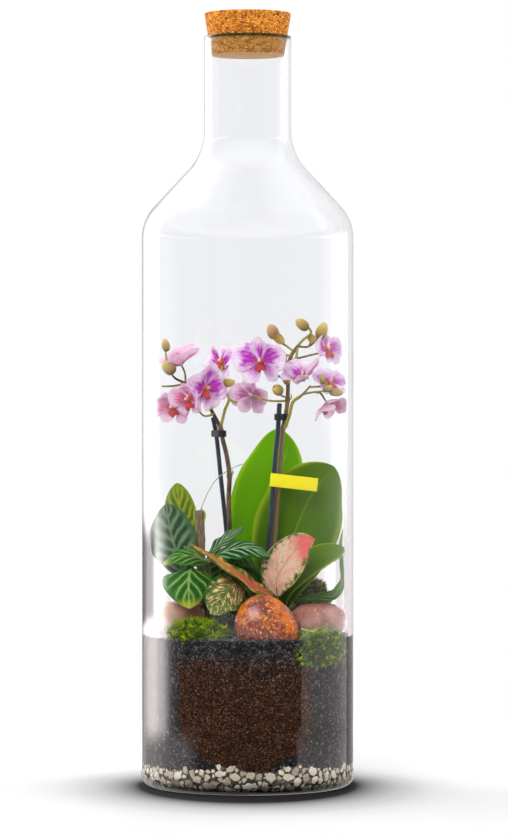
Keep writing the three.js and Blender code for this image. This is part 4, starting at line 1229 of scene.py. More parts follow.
@dataclass(frozen=True)
class Bottle:
    """The glass bottle, spun from its profile. Sizes in millimetres."""

    foot_radius: float = 91.0
    body_radius: float = 90.0
    wall: float = 4.0
    foot_rounding: float = 10.0
    inner_base: float = 5.5
    inner_rounding: float = 8.0
    punt_radius: float = 64.0
    punt_height: float = 3.0
    shoulder_z: float = 466.0
    shoulder_rounding: float = 40.0
    slope: float = math.radians(43)
    slant: float = 42.4
    neck_rounding: float = 50.0
    neck_wall: float = 2.6
    rim_z: float = 638.0
    segments: int = 160
    guard: float = 0.5
    guard_from: float = 12.0

    def _arc(self, centre: Pair, bend: float, start: float, end: float, steps: int
             ) -> list[Pair]:
        """Points of an arc of the profile.

        Args:
            centre: Radius and height of the middle of the arc.
            bend: Radius of the arc.
            start: First angle.
            end: Last angle.
            steps: Stretches of the arc.

        Returns:
            Pairs of radius and height.
        """
        angles = np.linspace(start, end, steps + 1)
        return [(centre[0] + bend * math.cos(a), centre[1] + bend * math.sin(a)) for a in angles]

    def profile(self) -> list[Pair]:
        """The wall's section from the middle of the foot, up the outside and down the inside.

        Returns:
            Pairs of radius and height.
        """
        turn_in = (self.body_radius - self.shoulder_rounding, self.shoulder_z)
        shoulder = self._arc(turn_in, self.shoulder_rounding, 0, self.slope, 24)
        reach = self.neck_rounding * math.cos(self.slope) - self.slant * math.sin(self.slope)
        rise = self.neck_rounding * math.sin(self.slope) + self.slant * math.cos(self.slope)
        turn_out = (shoulder[-1][0] + reach, shoulder[-1][1] + rise)
        neck = self._arc(turn_out, self.neck_rounding, math.pi + self.slope, math.pi, 24)
        radius = turn_out[0] - self.neck_rounding
        inner = radius - self.neck_wall
        foot = self._arc((self.foot_radius - self.foot_rounding, self.foot_rounding), self.foot_rounding,
                         -math.pi / 2, 0, 12)
        inside = self.body_radius - self.wall
        inner_foot = self._arc((inside - self.inner_rounding, self.inner_base + self.inner_rounding),
                               self.inner_rounding, 0, -math.pi / 2, 12)
        inner_shoulder = self._arc(turn_in, self.shoulder_rounding - self.wall, self.slope, 0, 20)
        inner_neck = self._arc(turn_out, self.neck_rounding + self.neck_wall, math.pi, math.pi + self.slope, 20)
        lip = self._arc(((radius + inner) / 2, self.rim_z - self.neck_wall / 2), self.neck_wall / 2, 0, math.pi, 8)
        punt = [(self.punt_radius * s, self.punt_height * (1 - s * s)) for s in (0.0, 0.25, 0.5, 0.75, 1.0)]
        return self._guarded([*punt, (72.0, 0.0), *foot, (self.body_radius, 15.0), *shoulder, *neck, *lip,
                              *inner_neck, *inner_shoulder, *inner_foot, (0.0, self.inner_base)])

    def _guarded(self, points: list[Pair]) -> list[Pair]:
        """Points with a guard close to both ends of each long stretch, so that it shades straight.

        Args:
            points: Pairs of radius and height.

        Returns:
            The same pairs with the guards between them.
        """
        full = []
        for (r0, z0), (r1, z1) in zip(points, points[1:]):
            full.append((r0, z0))
            length = math.hypot(r1 - r0, z1 - z0)
            if length > self.guard_from:
                near = self.guard / length
                full += [(r0 + (r1 - r0) * s, z0 + (z1 - z0) * s) for s in (near, 1 - near)]
        return [*full, points[-1]]

    def build(self) -> None:
        """Spins the profile into the bottle and dresses it."""
        profile = self.profile()
        mesh = bpy.data.meshes.new("bottle_clear")
        edges = [(i, i + 1) for i in range(len(profile) - 1)]
        mesh.from_pydata([(radius * MM, 0, z * MM) for radius, z in profile], edges, [])
        piece = bpy.data.objects.new("bottle_clear", mesh)
        bpy.context.scene.collection.objects.link(piece)
        deselect()
        piece.select_set(True)
        bpy.context.view_layer.objects.active = piece
        bpy.ops.object.mode_set(mode="EDIT")
        bpy.ops.mesh.select_all(action="SELECT")
        bpy.ops.mesh.spin(steps=self.segments, angle=FULL_TURN, center=(0, 0, 0), axis=(0, 0, 1))
        bpy.ops.mesh.select_all(action="SELECT")
        bpy.ops.mesh.remove_doubles(threshold=1e-6)
        bpy.ops.mesh.normals_make_consistent(inside=False)
        bpy.ops.object.mode_set(mode="OBJECT")
        bpy.ops.object.shade_smooth()
        piece.data.materials.append(Palette.GLASS.material())
        place(piece, "glass", "glass_bottle")


@dataclass(frozen=True)
class Cork:
    """The tapered cork. Sizes in millimetres."""

    bottom_z: float = 621.0
    top_z: float = 657.5
    bottom_radius: float = 30.8
    top_radius: float = 37.0
    chamfer: float = 1.0

    def build(self) -> None:
        """Makes a cone, bevels its rims and dresses it."""
        deselect()
        bpy.ops.mesh.primitive_cone_add(
            vertices=96, radius1=self.bottom_radius * MM, radius2=self.top_radius * MM,
            depth=(self.top_z - self.bottom_z) * MM, location=(0, 0, (self.top_z + self.bottom_z) / 2 * MM))
        piece = bpy.context.object
        piece.name = "cork_grained"
        bpy.ops.object.mode_set(mode="EDIT")
        bpy.ops.mesh.select_all(action="DESELECT")
        bpy.ops.object.mode_set(mode="OBJECT")
        for edge in piece.data.edges:
            ends = [piece.data.vertices[i].co.z for i in edge.vertices]
            edge.select = abs(ends[0] - ends[1]) < 1e-6
        bevel(self.chamfer, 3, "")
        settle(piece, Palette.CORK, "cork", "cork_stopper")


# ---------- Layers ----------


def ground_height(x: Array, y: Array) -> Array:
    """Height of the grit in millimetres: a mound round the plants with small waves."""
    away = np.hypot(x + 4, y - 16) / 42
    return GROUND + 25 * np.exp(-away * away) + 0.8 * np.sin(x / 9) * np.cos(y / 7)


def rough(points: Array, size: float, seed: float) -> Array:
    """Irregular values from -1 to 1 that vary smoothly over a size, for rows of points.

    Args:
        points: Points in millimetres.
        size: Size of the bumps.
        seed: Number of the pattern.

    Returns:
        A value for each point.
    """
    total = np.zeros(points.shape[:-1])
    for octave, (a, b, c) in enumerate(((1.0, 1.7, 2.3), (2.1, -1.3, 1.1), (-1.9, 2.9, 0.7), (3.7, 1.1, -2.9))):
        phase = (points @ np.array([a, b, c])) / size + seed * (octave + 1)
        total += np.sin(phase + 1.7 * np.sin(phase * 0.61 + seed)) / (1 + 0.4 * octave)
    return total / 2.9


@dataclass(frozen=True)
class Scatter:
    """Copies of a few rough or broken pebbles, placed by a rule."""

    seed: int
    level: int
    facets: int = 0

    def stone(self, rng: random.Random) -> tuple[Array, Array]:
        """Points and faces of one pebble of size one.

        Args:
            rng: Source of chance.

        Returns:
            Its corners and its triangles.
        """
        deselect()
        bpy.ops.mesh.primitive_ico_sphere_add(subdivisions=self.level, radius=1)
        source = bpy.context.object
        points = np.array([v.co for v in source.data.vertices])
        faces = np.array([p.vertices for p in source.data.polygons])
        mesh = source.data
        bpy.data.objects.remove(source)
        bpy.data.meshes.remove(mesh)
        scale = np.array([rng.uniform(*span) for span in ((0.85, 1.2), (0.75, 1.0), (0.65, 0.9))])
        bumps = 1 + 0.22 * rough(points, 0.7, rng.uniform(0, 9))
        if self.facets:
            flats = unit(np.array([sway(rng, 1, 1) for _ in range(self.facets)]))
            depths = np.array([rng.uniform(0.72, 0.98) for _ in range(self.facets)])
            cut = np.min(depths / np.maximum(points @ flats.T, 0.05), axis=1)
            bumps = np.minimum(1.15, cut) * (1 + 0.05 * rough(points, 0.25, rng.uniform(0, 9)))
        return points * bumps[:, None] * scale, faces

    def strew(self, spots: Sequence[tuple[Point, float]], reach: float = 88.0, corner: float = 0.0) -> Shell:
        """Puts a turned pebble at each spot.

        Args:
            spots: Place and radius of each pebble in millimetres.
            reach: Radius of the glass that the pebbles stay inside.
            corner: Rounding of the glass inside at its foot.

        Returns:
            The pebbles, each with its own tone.
        """
        rng = random.Random(self.seed)
        kinds = [self.stone(rng) for _ in range(14)]
        shell = Shell()
        for at, size in spots:
            points, faces = kinds[rng.randrange(len(kinds))]
            turn = np.array(Vector(sway(rng, 1, 1)).to_track_quat().to_matrix())
            moved = points @ turn.T * size + np.asarray(at)
            moved[:, 2] = np.maximum(moved[:, 2], Bottle.inner_base + 0.1)
            drop = np.clip(Bottle.inner_base + corner - moved[:, 2:], 0, corner)
            moved = press_inside(moved, reach - corner + np.sqrt(corner**2 - drop**2))
            shell.add(moved, faces, np.zeros((len(points), 2)), 0, rng.random())
        return shell


@dataclass(frozen=True)
class Layers:
    """Gravel, soil and grit in the bottle. The root ball of soil stands off the middle, to the front."""

    seed: int = 7
    root_x: float = -1.0
    root_y: float = -40.0
    root_radius: float = 61.0
    root_foot: float = 48.0
    root_taper: float = 44.0
    root_top: float = 115.0
    inside: float = Bottle.body_radius - Bottle.wall

    def _ball(self, points: Array) -> Array:
        """Ragged radius of the root ball about its own axis, for points at the glass.

        Args:
            points: Points in millimetres.

        Returns:
            A radius for each point.
        """
        share = np.clip((points[..., 2] - GRAVEL_TOP) / (self.root_taper - GRAVEL_TOP), 0, 1)
        plain = self.root_foot + (self.root_radius - self.root_foot) * share
        return plain + 2.2 * rough(points, 5.0, 3.0) + 1.3 * rough(points, 1.7, 6.0)

    def _soil_radius(self, turn: Array, z: Array) -> Array:
        """Radius of the soil plug about its own axis, cut by the glass, at angles and heights.

        Args:
            turn: Angles about the plug's axis.
            z: Heights.

        Returns:
            A radius for each pair.
        """
        along = self.root_x * np.cos(turn) + self.root_y * np.sin(turn)
        centre = self.root_x**2 + self.root_y**2
        wall = -along + np.sqrt(along**2 - centre + WET_RADIUS**2)
        return np.minimum(self._ball(polar(wall, turn, z, self.root_x, self.root_y)), wall)

    def _gravel_top(self, turn: Array) -> Array:
        """Uneven height of the gravel at the glass, by the angle about the bottle.

        Args:
            turn: Angles.

        Returns:
            A height for each angle.
        """
        top = GRAVEL_TOP - 4.5 + 2.4 * rough(polar(84, turn, 0), 6.0, 6.0)
        for middle, high, wide in ((-105, 6, 4), (-98, 4, 3), (-70, 4, 5), (-61, 7, 3), (40, 6, 6), (160, 6, 7)):
            away = (np.degrees(turn) - middle + 180) % 360 - 180
            top = top + high * np.exp(-((away / wide) ** 2))
        return top

    def _soil_top(self, x: Array, y: Array) -> Array:
        """Height at which the soil ends under the grit, uneven and lower towards the front right.

        Args:
            x: Places to the right.
            y: Places to the back.

        Returns:
            A height for each pair.
        """
        points = np.stack([x, y, np.zeros_like(x)], -1)
        dip = 7.0 * np.exp(-(((x - 46) / 7) ** 2))
        return self.root_top - 0.5 + 2.4 * rough(points, 8.0, 5.0) + 1.4 * rough(points, 2.5, 8.0) - dip

    def soil(self) -> None:
        """Root ball of soil with a crumbly side, wet against the glass."""
        axis = (self.root_x, self.root_y)
        turn = around(480)
        grid_turn, share = np.meshgrid(turn, np.linspace(0, 1, 90))
        rim = polar(self._soil_radius(turn, np.full_like(turn, self.root_top)), turn, 0, *axis)
        low = self._gravel_top(np.arctan2(rim[:, 1], rim[:, 0])) + 0.5
        grid_z = low[None, :] + (self._soil_top(rim[:, 0], rim[:, 1]) - low)[None, :] * share
        radius = self._soil_radius(grid_turn, grid_z)
        points = polar(radius, grid_turn, grid_z, *axis)
        crumbs = 0.7 * rough(points, 2.3, 1.0) + 0.5 * rough(points, 0.9, 4.0) + 1.6 * rough(points, 14, 2.0)
        at_wall = np.hypot(points[..., 0], points[..., 1]) > WET_RADIUS - 0.5
        shrink = radius - np.where(at_wall, 0.03 * (crumbs + 2.8), 1.2 * (crumbs + 2))
        shell = Shell()
        shell.lattice(polar(shrink, grid_turn, grid_z, *axis))
        place(shell.build("soil_plug", Palette.SOIL), "soil", "potting_soil")

    def grit(self) -> None:
        """Bed of grit: its top, its side and the hollow side behind the soil."""
        turn = around(480)
        rings = []
        for radius in (0.5, 4, 8, 12, 16, 20, 25, 30, 35, 40, 46, 52, 58, 63, 68, 73, 77, 81, 83.5, 85.2):
            rings.append(polar(radius, turn, ground_height(radius * np.cos(turn), radius * np.sin(turn)) - 0.8))
        low = self._gravel_top(turn) + 0.4
        for share in np.linspace(0, 1, 90):
            level = (GROUND - 0.4) * (1 - share) + low * share
            wall = polar(WET_RADIUS, turn, level)
            away = np.hypot(wall[:, 0] - self.root_x, wall[:, 1] - self.root_y)
            behind = (away < self._ball(wall) - 0.4) & (level < self._soil_top(wall[:, 0], wall[:, 1]) - 0.4)
            rings.append(polar(np.where(behind, FILL_RADIUS - 4.0, WET_RADIUS + 0.02), turn, level))
        shell = Shell()
        shell.lattice(np.array(rings), flip=True)
        place(shell.build("grit_bed", Palette.GRIT_BED), "grit", "black_grit")

    def _at_glass(self, turn: float, size: float, z: float) -> tuple[Point, float]:
        """Place and size of a grain pressed to the glass."""
        radius = WET_RADIUS + 0.1 - size * 0.35
        return (radius * math.cos(turn), radius * math.sin(turn), z), size

    def grains(self) -> None:
        """Loose grains on the grit, at the glass, and where they trickled over the soil."""
        rng = random.Random(self.seed)
        spots: list[tuple[Point, float]] = []
        for _ in range(5200):
            radius, turn = 85.0 * math.sqrt(rng.random()), rng.uniform(0, FULL_TURN)
            x, y = radius * math.cos(turn), radius * math.sin(turn)
            size = rng.uniform(0.7, 1.4)
            spots.append(((x, y, float(ground_height(np.array(x), np.array(y))) - 0.5 + rng.uniform(0, 0.8)), size))
        for _ in range(2600):
            spots.append(self._at_glass(rng.uniform(0, FULL_TURN), rng.uniform(0.7, 1.2),
                                        GROUND + 0.5 - 24 * rng.random() ** 1.3))
        for _ in range(700):
            spots.append(self._at_glass(-math.pi / 2 + rng.gauss(0.1, 0.38), rng.uniform(0.5, 1.0),
                                        117 - 30 * rng.random() ** 2.2))
        shell = Scatter(self.seed, 1).strew(spots)
        place(shell.build("grit_grains", Palette.GRIT), "grit")

    def _inner_radius(self, z: Array) -> Array:
        """Radius of the glass inside at heights near the foot.

        Args:
            z: Heights.

        Returns:
            A radius for each height.
        """
        bend = Bottle.inner_rounding
        drop = np.clip(Bottle.inner_base + bend - z, 0, bend)
        return self.inside - bend + np.sqrt(bend**2 - drop**2)

    def _packed(self, rng: random.Random) -> Array:
        """Chips that lie close without covering each other, placed from the largest to the smallest.

        Args:
            rng: Source of chance.

        Returns:
            Angle, height and radius of each chip at the glass.
        """
        taken = np.zeros((0, 3))
        for size, tries in ((5.4, 260), (4.6, 700), (3.8, 1300), (3.0, 2400), (2.3, 3200), (1.7, 3000)):
            for _ in range(tries):
                turn, height = rng.uniform(-math.pi, math.pi), rng.uniform(6.4, 32)
                top = float(self._gravel_top(np.array(turn))) + 1.2
                if height + size * 0.5 > top or height < Bottle.inner_base + size * 0.5:
                    continue
                round_off = (turn - taken[:, 0] + math.pi) % FULL_TURN - math.pi
                apart = np.hypot(round_off * 84, height - taken[:, 1]) - 0.68 * (size + taken[:, 2])
                if np.all(apart > 0):
                    taken = np.vstack([taken, [turn, height, size * rng.uniform(0.92, 1.08)]])
        return taken

    def gravel(self) -> None:
        """Pale broken chips pressed against the glass, over a darker bed."""
        spots = []
        for turn, height, size in self._packed(random.Random(self.seed + 1)):
            reach = self._inner_radius(height) + 0.35 - size * 0.52
            spots.append(((reach * math.cos(turn), reach * math.sin(turn), height), size))
        chips = Scatter(self.seed + 1, 2, 7).strew(spots, self.inside + 0.6, Bottle.inner_rounding)
        chip_piece = chips.build("gravel_chips", Palette.PUMICE, smooth=False)
        turn = around(128)
        rings = [polar(radius, turn, GRAVEL_FLOOR - 1.7) for radius in (30.0, 60.0, 74.0)]
        top = self._gravel_top(turn) + 2.0
        for share in np.linspace(0, 1, 24):
            z = (GRAVEL_FLOOR - 1.5) * (1 - share) + (top - 1.2) * share
            rings.append(polar(self._inner_radius(z) + WET_RADIUS - self.inside, turn, z))
        bed = Shell()
        bed.lattice(np.array(rings))
        place(bed.build("gravel_bed", Palette.PUMICE_BED), "pumice", "drainage_gravel")
        place(chip_piece, "pumice")

    def build(self) -> None:
        """Builds all the layers."""
        self.soil()
        self.grit()
        self.grains()
        self.gravel()


@dataclass(frozen=True)
class Lump:
    """Ellipsoid with a bumpy or squared-off surface, in the terms of the model's lumps."""

    at: Point
    half: Point
    turn: float = 0.0
    lumps: float = 0.0
    peak: float = 0.0
    dents: float = 0.0
    square: Pair = (2.0, 2.0)

    def warp(self, points: Array) -> Array:
        """Places points of the unit sphere on the lump.

        Args:
            points: Points of the unit sphere.

        Returns:
            Points in millimetres.
        """
        x, y, z = points[..., 0], points[..., 1], points[..., 2]
        bump = 1 + self.lumps * np.sin(7 * x + 2) * np.sin(8 * y) * np.cos(5 * z)
        bump = bump - self.dents * np.abs(rough(points, 0.55, 2.0 + self.at[0]))
        power = np.where(z < 0, self.square[0], self.square[1])
        bump = bump / (np.abs(x) ** power + np.abs(y) ** power + np.abs(z) ** power) ** (1 / power)
        lean = 1 - self.peak * z
        shaped = np.stack([x * bump * lean - 0.5 * self.peak * z * bump, y * bump * lean, z * bump], -1)
        shaped = shaped * np.asarray(self.half)
        c, s = math.cos(self.turn), math.sin(self.turn)
        turned = np.stack([shaped[..., 0] * c - shaped[..., 1] * s, shaped[..., 0] * s + shaped[..., 1] * c,
                           shaped[..., 2]], -1)
        return turned + np.asarray(self.at)

    def skin(self, rows: int = 48, columns: int = 96) -> Array:
        """Rings of points over the lump, from its foot to its top.

        Args:
            rows: How many rings.
            columns: Points in each.

        Returns:
            The rings.
        """
        phi = np.linspace(math.pi - 0.03, 0.03, rows)[:, None]
        turn = around(columns)[None, :]
        return self.warp(np.stack([np.sin(phi) * np.cos(turn), np.sin(phi) * np.sin(turn),
                                   np.cos(phi) * np.ones_like(turn)], -1))


@dataclass(frozen=True)
class Stone:
    """A tumbled stone."""

    node: str
    slot: str
    finish: Palette
    lump: Lump

    def build(self) -> None:
        """Builds the stone with its finish."""
        shell = Shell()
        shell.lattice(self.lump.skin())
        place(shell.build(f"{self.node}_polished", self.finish), self.slot, self.node)


STONES = (
    Stone("stone_front", "rust_stone", Palette.RUST_STONE,
          Lump((14.6, -57, 145.0), (25.2, 24, 20.9), peak=0.21, dents=0.02, square=(3.6, 2.1))),
    Stone("stone_left", "copper_stone", Palette.COPPER_LEFT,
          Lump((-57, -25, 144.5), (21, 15, 14.5), 0.15, dents=0.03, square=(2.8, 2.6))),
    Stone("stone_right", "copper_stone", Palette.COPPER_RIGHT,
          Lump((60, -12, 142.5), (22.5, 18, 13.5), -0.1, dents=0.05, square=(3.4, 3.2))),
)


@dataclass(frozen=True)
class Moss:
    """A cushion of moss: a dark bumpy body with tufts of fine shoots all over it."""

    node: str
    lump: Lump
    finish: Palette
    tufts: int = 210
    shoots: int = 15
    length: float = 4.6
    width: float = 0.42
    seed: int = 3
    droop: float = 0.1
    strand: Points = ()

    def _shoot(self, shell: Shell, root: Array, out: Array, size: float, rng: random.Random, tone: float) -> None:
        """Adds one shoot that tapers to a point.

        Args:
            shell: Faces of the cushion.
            root: Its foot.
            out: Its direction.
            size: Its length.
            rng: Source of chance.
            tone: Value for the attribute "tone".
        """
        bend = np.array([rng.gauss(0, 0.25), rng.gauss(0, 0.25), 0.25 - 0.5 * self.droop]) * size
        path = press_inside(np.array([root, root + out * size * 0.5 + bend * 0.2, root + out * size + bend]),
                            WET_RADIUS + 0.4)
        side = unit(np.cross(out, sway(rng, 1, 1)))
        other = 0.87 * np.cross(out, side)
        ring = np.array([side, -0.5 * side + other, -0.5 * side - other])
        half = self.width * rng.uniform(0.7, 1.3)
        points = np.vstack([path[0] + ring * half * 0.7, path[1] + ring * half, path[2][None]])
        quads = np.array([[0, 1, 4, 3], [1, 2, 5, 4], [2, 0, 3, 5]])
        tips = np.array([[3, 4, 6], [4, 5, 6], [5, 3, 6]])
        shell.add(points, quads, np.zeros((7, 2)), 0, tone)
        shell.extend(tips, np.zeros((7, 2)), 0)

    def build(self) -> None:
        """Builds the cushion."""
        rng = random.Random(self.seed)
        shell = Shell()
        shell.lattice(press_inside(self.lump.skin(24, 48), WET_RADIUS + 0.1), tone=0.05)
        for _ in range(self.tufts):
            direction = unit(sway(rng, 1, 1, 0.3))
            root = press_inside(self.lump.warp(direction * 0.95)[None], WET_RADIUS)[0]
            if root[2] < float(ground_height(root[0], root[1])) - 3 and math.hypot(root[0], root[1]) < 80:
                continue
            out = unit(direction / np.asarray(self.lump.half))
            shade = min(1.0, max(0.1, rng.gauss(0.55, 0.25)))
            lean = sway(rng, 0.3, 0.3, 0.15 - self.droop)
            long = self.length * rng.uniform(0.6, 1.25)
            for _ in range(self.shoots):
                splay = sway(rng, 0.5, 0.5)
                foot = root + sway(rng, 0.7, 0.4)
                tone = min(1.0, max(0.0, shade + rng.gauss(0, 0.12)))
                self._shoot(shell, foot, unit(out + lean + splay), long * rng.uniform(0.6, 1.1), rng, tone)
        if self.strand:
            shell.tube(self.strand, 0.7, 0.4, sides=8, steps=30, tone=1.0)
        place(shell.build(f"{self.node}_shoots", self.finish), "moss", self.node)


MOSSES = (
    Moss("moss_front_left", Lump((-42, -56, 132), (24.5, 16, 11.0), -0.35, 0.12), Palette.MOSS, seed=11),
    Moss("moss_front_right", Lump((61, -52, 119), (30.0, 9.6, 16.8), 0.88, 0.12), Palette.MOSS, 260, seed=12,
         droop=0.6, strand=((44, -71, 138), (54, -64, 135), (66, -52, 132), (76, -36, 128.5))),
    Moss("moss_back_right", Lump((55, 28, 150), (16.0, 14.0, 22.5), 0, 0.12), Palette.MOSS_BROWN, 240, 13, 4.0,
         seed=13),
)


# ---------- Orchid ----------

def thick(rib: Points, side: Points, width: float, widest: float, foot: float, fold: float) -> Blade:
    """Blade of a thick orchid leaf."""
    return Blade(rib, side, width, widest, 0.55, foot, fold, thickness=1.8, across=28, along=60, crease=0.9)


ORCHID_LEAVES = {
    "orchid_leaf_1": (thick([(19, 5, 144), (9, 11, 168), (7, 16, 201), (15, 25, 242), (23.5, 26, 275), (26, 20, 303.5)],
                            [(1, 0.15, 0)], 30, 0.62, 8, 0.12), Palette.ORCHID_LEAF),
    "orchid_leaf_2": (thick([(27, 3, 144), (28, 4, 170), (34, 6, 195), (43, 12, 222), (56, 14, 249), (74, 8, 271.5)],
                            [(1, 0, -0.2), (0.9, 0, -0.5)], 37, 0.58, 8, 0.1), Palette.SHADE_LEAF),
    "orchid_leaf_3": (thick([(29, 0, 144), (34, -7, 166), (44, -10, 180), (61, -10, 194), (82, -4, 202.5)],
                            [(0.4, -0.75, -0.5)], 15, 0.68, 7, 0.15), Palette.SHADE_LEAF),
}


@dataclass(frozen=True)
class Bloom:
    """One open flower: three sepals, two broad petals, the lip and the column.

    It sits at a point and looks along a direction, with a reach, a cup, a strength of colour and a finish.
    """

    node: str
    at: Point
    faces: Point
    reach: float
    cup: float
    blush: float = 0.6
    finish: Palette = Palette.PETAL
    tepals: tuple[tuple[float, float, float, float, float], ...] = (
        (0, 1.0, 0.40, -0.8, 0.8), (72, 1.08, 0.60, 0.8, 1.0), (-72, 1.08, 0.60, 0.8, 1.0),
        (142, 0.98, 0.38, -0.8, 0.6), (-142, 0.98, 0.38, -0.8, 0.6))
    root: float = 1.3

    def back(self) -> Array:
        """Point inside the back of the bloom, where its pedicel ends."""
        return np.asarray(self.at, float) - unit(np.asarray(self.faces, float)) * self.root

    def build(self) -> None:
        """Builds the flower."""
        forward = unit(np.asarray(self.faces, float))
        right = unit(np.cross([0, 0, 1], forward))
        up, centre = np.cross(forward, right), np.asarray(self.at, float)
        rng = random.Random(self.node)
        shell = Shell()

        def spot(across: float, high: float, ahead: float) -> Array:
            """Point in the bloom's own directions."""
            return centre + right * across + up * high + forward * ahead

        for angle, length, half, ahead, strength in self.tepals:
            turn = math.radians(angle + rng.uniform(-4, 4))
            across, high = math.sin(turn), math.cos(turn)
            far = length * self.reach
            curl = rng.uniform(-0.22, 0.22)
            lift = max(0.0, self.cup + rng.uniform(-0.1, 0.25)) * 0.8
            rib = [spot(across * share * far, high * share * far,
                        ahead + (bend * lift + curl * share**3) * self.reach)
                   for share, bend in ((self.root / far, 0), (0.3, 0.2), (0.55, 0.45), (0.8, 0.78), (1, 1))]
            flat = right * high - up * across
            sides = [flat + forward * rng.uniform(-spread, spread) for spread in (0.4, 0.6)]
            shell.blade(Blade(rib, sides, half * self.reach, 0.6, 0.62, 0.6, rng.uniform(-0.1, 0.5), 1.3,
                              rng.uniform(1.0, 2.0), 0.5, 16, 20), (0, 1), self.blush * strength)
        lip = Blade([spot(0, 0, 0.5), spot(0, -2.5, 5), spot(0, -6.5, 7.5), spot(0, -9, 5.5)], [right], 5.0,
                    fold=0.9, thickness=0.5, across=12, along=16)
        shell.blade(lip, (2, 2), 0.35)
        for way in (-1, 1):
            lobe = Blade([spot(0.8 * way, -0.8, 1.0), spot(3.2 * way, 0.4, 3.4), spot(3.4 * way, 3.6, 5.2)],
                         [up * 0.4 + forward * 0.9], 2.6, full=0.6, fold=0.2, thickness=0.5, across=8, along=10)
            shell.blade(lobe, (2, 2), 0.7)
        shell.egg(spot(0, 0.6, 2.6), forward * 0.9 + up * 0.3, (1.7, 3.2), 3, 0.5)
        shell.egg(spot(0, 1.6, 5.0), forward, (1.3, 1.2), 3, 1.0, rows=8, columns=10)
        shell.egg(centre, -forward, (1.5, 2.4), 1, 0.3, rows=8, columns=10)
        looks = (self.finish, Palette.PETAL_BACK, Palette.LIP, Palette.COLUMN)
        place(shell.build(f"{self.node}_open", *looks), "petal", self.node)


BLOOMS = {bloom.node: bloom for bloom in (
    Bloom("bloom_left_1", (-57, 6, 359), (-0.35, -0.3, 0.9), 19, 0.6, 0.7, Palette.PETAL_PINK),
    Bloom("bloom_left_2", (-37, -14, 338), (0.75, -0.6, -0.1), 23.5, 0.15, 1.0),
    Bloom("bloom_left_3", (-48, -46, 330), (-0.6, -0.7, -0.35), 15, 0.4, 0.9, Palette.PETAL_PINK),
    Bloom("bloom_left_4", (-63, -12, 324), (-0.3, -0.75, -0.5), 17, 0.45, 0.7, Palette.PETAL_PINK),
    Bloom("bloom_left_5", (-21, 24, 360), (-0.75, -0.6, 0.2), 17, 0.2, 0.9),
    Bloom("bloom_right_1", (11, -22, 361.5), (-0.3, -0.9, -0.2), 22, 0.1, 1.0),
    Bloom("bloom_right_2", (3, -4, 332), (-0.35, 0.8, -0.35), 17, 0.3, 0.9, Palette.PETAL_DUSTY),
    Bloom("bloom_right_3", (67, 10, 370), (0.6, -0.6, 0.35), 16, 0.35, 0.7),
    Bloom("bloom_right_4", (47, -22, 346), (-0.35, -0.4, 0.85), 18, 0.8, 0.9),
    Bloom("bloom_right_5", (70, 2, 342), (0.3, -0.7, 0.5), 16, 0.25, 0.9),
    Bloom("bloom_right_6", (67, -8, 326), (0.4, -0.45, -0.8), 16, 0.5, 0.8, Palette.PETAL_PINK),
)}


@dataclass(frozen=True)
class Twig:
    """One round stretch of a flower stem."""

    path: Points
    radius: float
    tip: float
    slot: int = 1
    nodes: tuple[float, ...] = ()


def branch(radius: float, *path: Point) -> Twig:
    """Side branch of a flower stem."""
    return Twig(path, radius, radius * 0.85)


def pedicel(name: str, start: Point, bend: Point) -> Twig:
    """Pedicel from the stem to a bloom."""
    return bud_stalk(start, bend, BLOOMS[name].back())


def bud_stalk(*path: Point | Array) -> Twig:
    """Pedicel to a bud."""
    return Twig(path, 0.95, 0.8)


@dataclass(frozen=True)
class Spike:
    """A flower stem with its branches, pedicels, bracts and buds."""

    node: str
    twigs: tuple[Twig, ...]
    buds: tuple[tuple[Point, Point, Pair], ...]

    def build(self) -> None:
        """Builds the stem and all that grows on it."""
        shell = Shell()
        rng = random.Random(self.node)
        for twig in self.twigs:
            steps = max(16, int(Track(twig.path).length / 2.2))
            shares = np.linspace(0, 1, steps + 1)
            radius = twig.radius + (twig.tip - twig.radius) * shares
            for knot in twig.nodes:
                radius = radius + 0.55 * np.exp(-(((shares - knot) * Track(twig.path).length / 2.0) ** 2))
            shell.tube(twig.path, radius, sides=12, steps=steps, slot=twig.slot, tone=rng.random())
            for knot in twig.nodes:
                self._bract(shell, twig, knot)
        for at, axis, size in self.buds:
            shell.egg(at, axis, size, 2, rng.random(), rows=16, columns=18)
        looks = (Palette.STEM, Palette.TWIG, Palette.BUD, Palette.BRACT)
        place(shell.build(f"{self.node}_grown", *looks), "spike", self.node)

    def _bract(self, shell: Shell, twig: Twig, knot: float) -> None:
        """Adds the small pointed bract over a node of the stem.

        Args:
            shell: Faces of the stem.
            twig: The stretch of stem.
            knot: Place of the node by share of length.
        """
        track = Track(twig.path)
        at, ahead = track.at(np.array([knot]))[0], track.ahead(np.array([knot]))[0]
        out = unit(np.cross(ahead, [0.2, 1.0, 0.0])) * (1 if int(knot * 100) % 2 else -1)
        radius = twig.radius * 0.9
        rib = [at + out * radius * 0.7, at + out * (radius + 0.5) + ahead * 2.4,
               at + out * (radius + 0.4) + ahead * 5.5]
        shell.blade(Blade(rib, [np.cross(out, ahead)], 1.7, 0.35, foot=1.6, fold=-0.5, thickness=0.3, across=6,
                          along=8), (3, 3), 0.4)


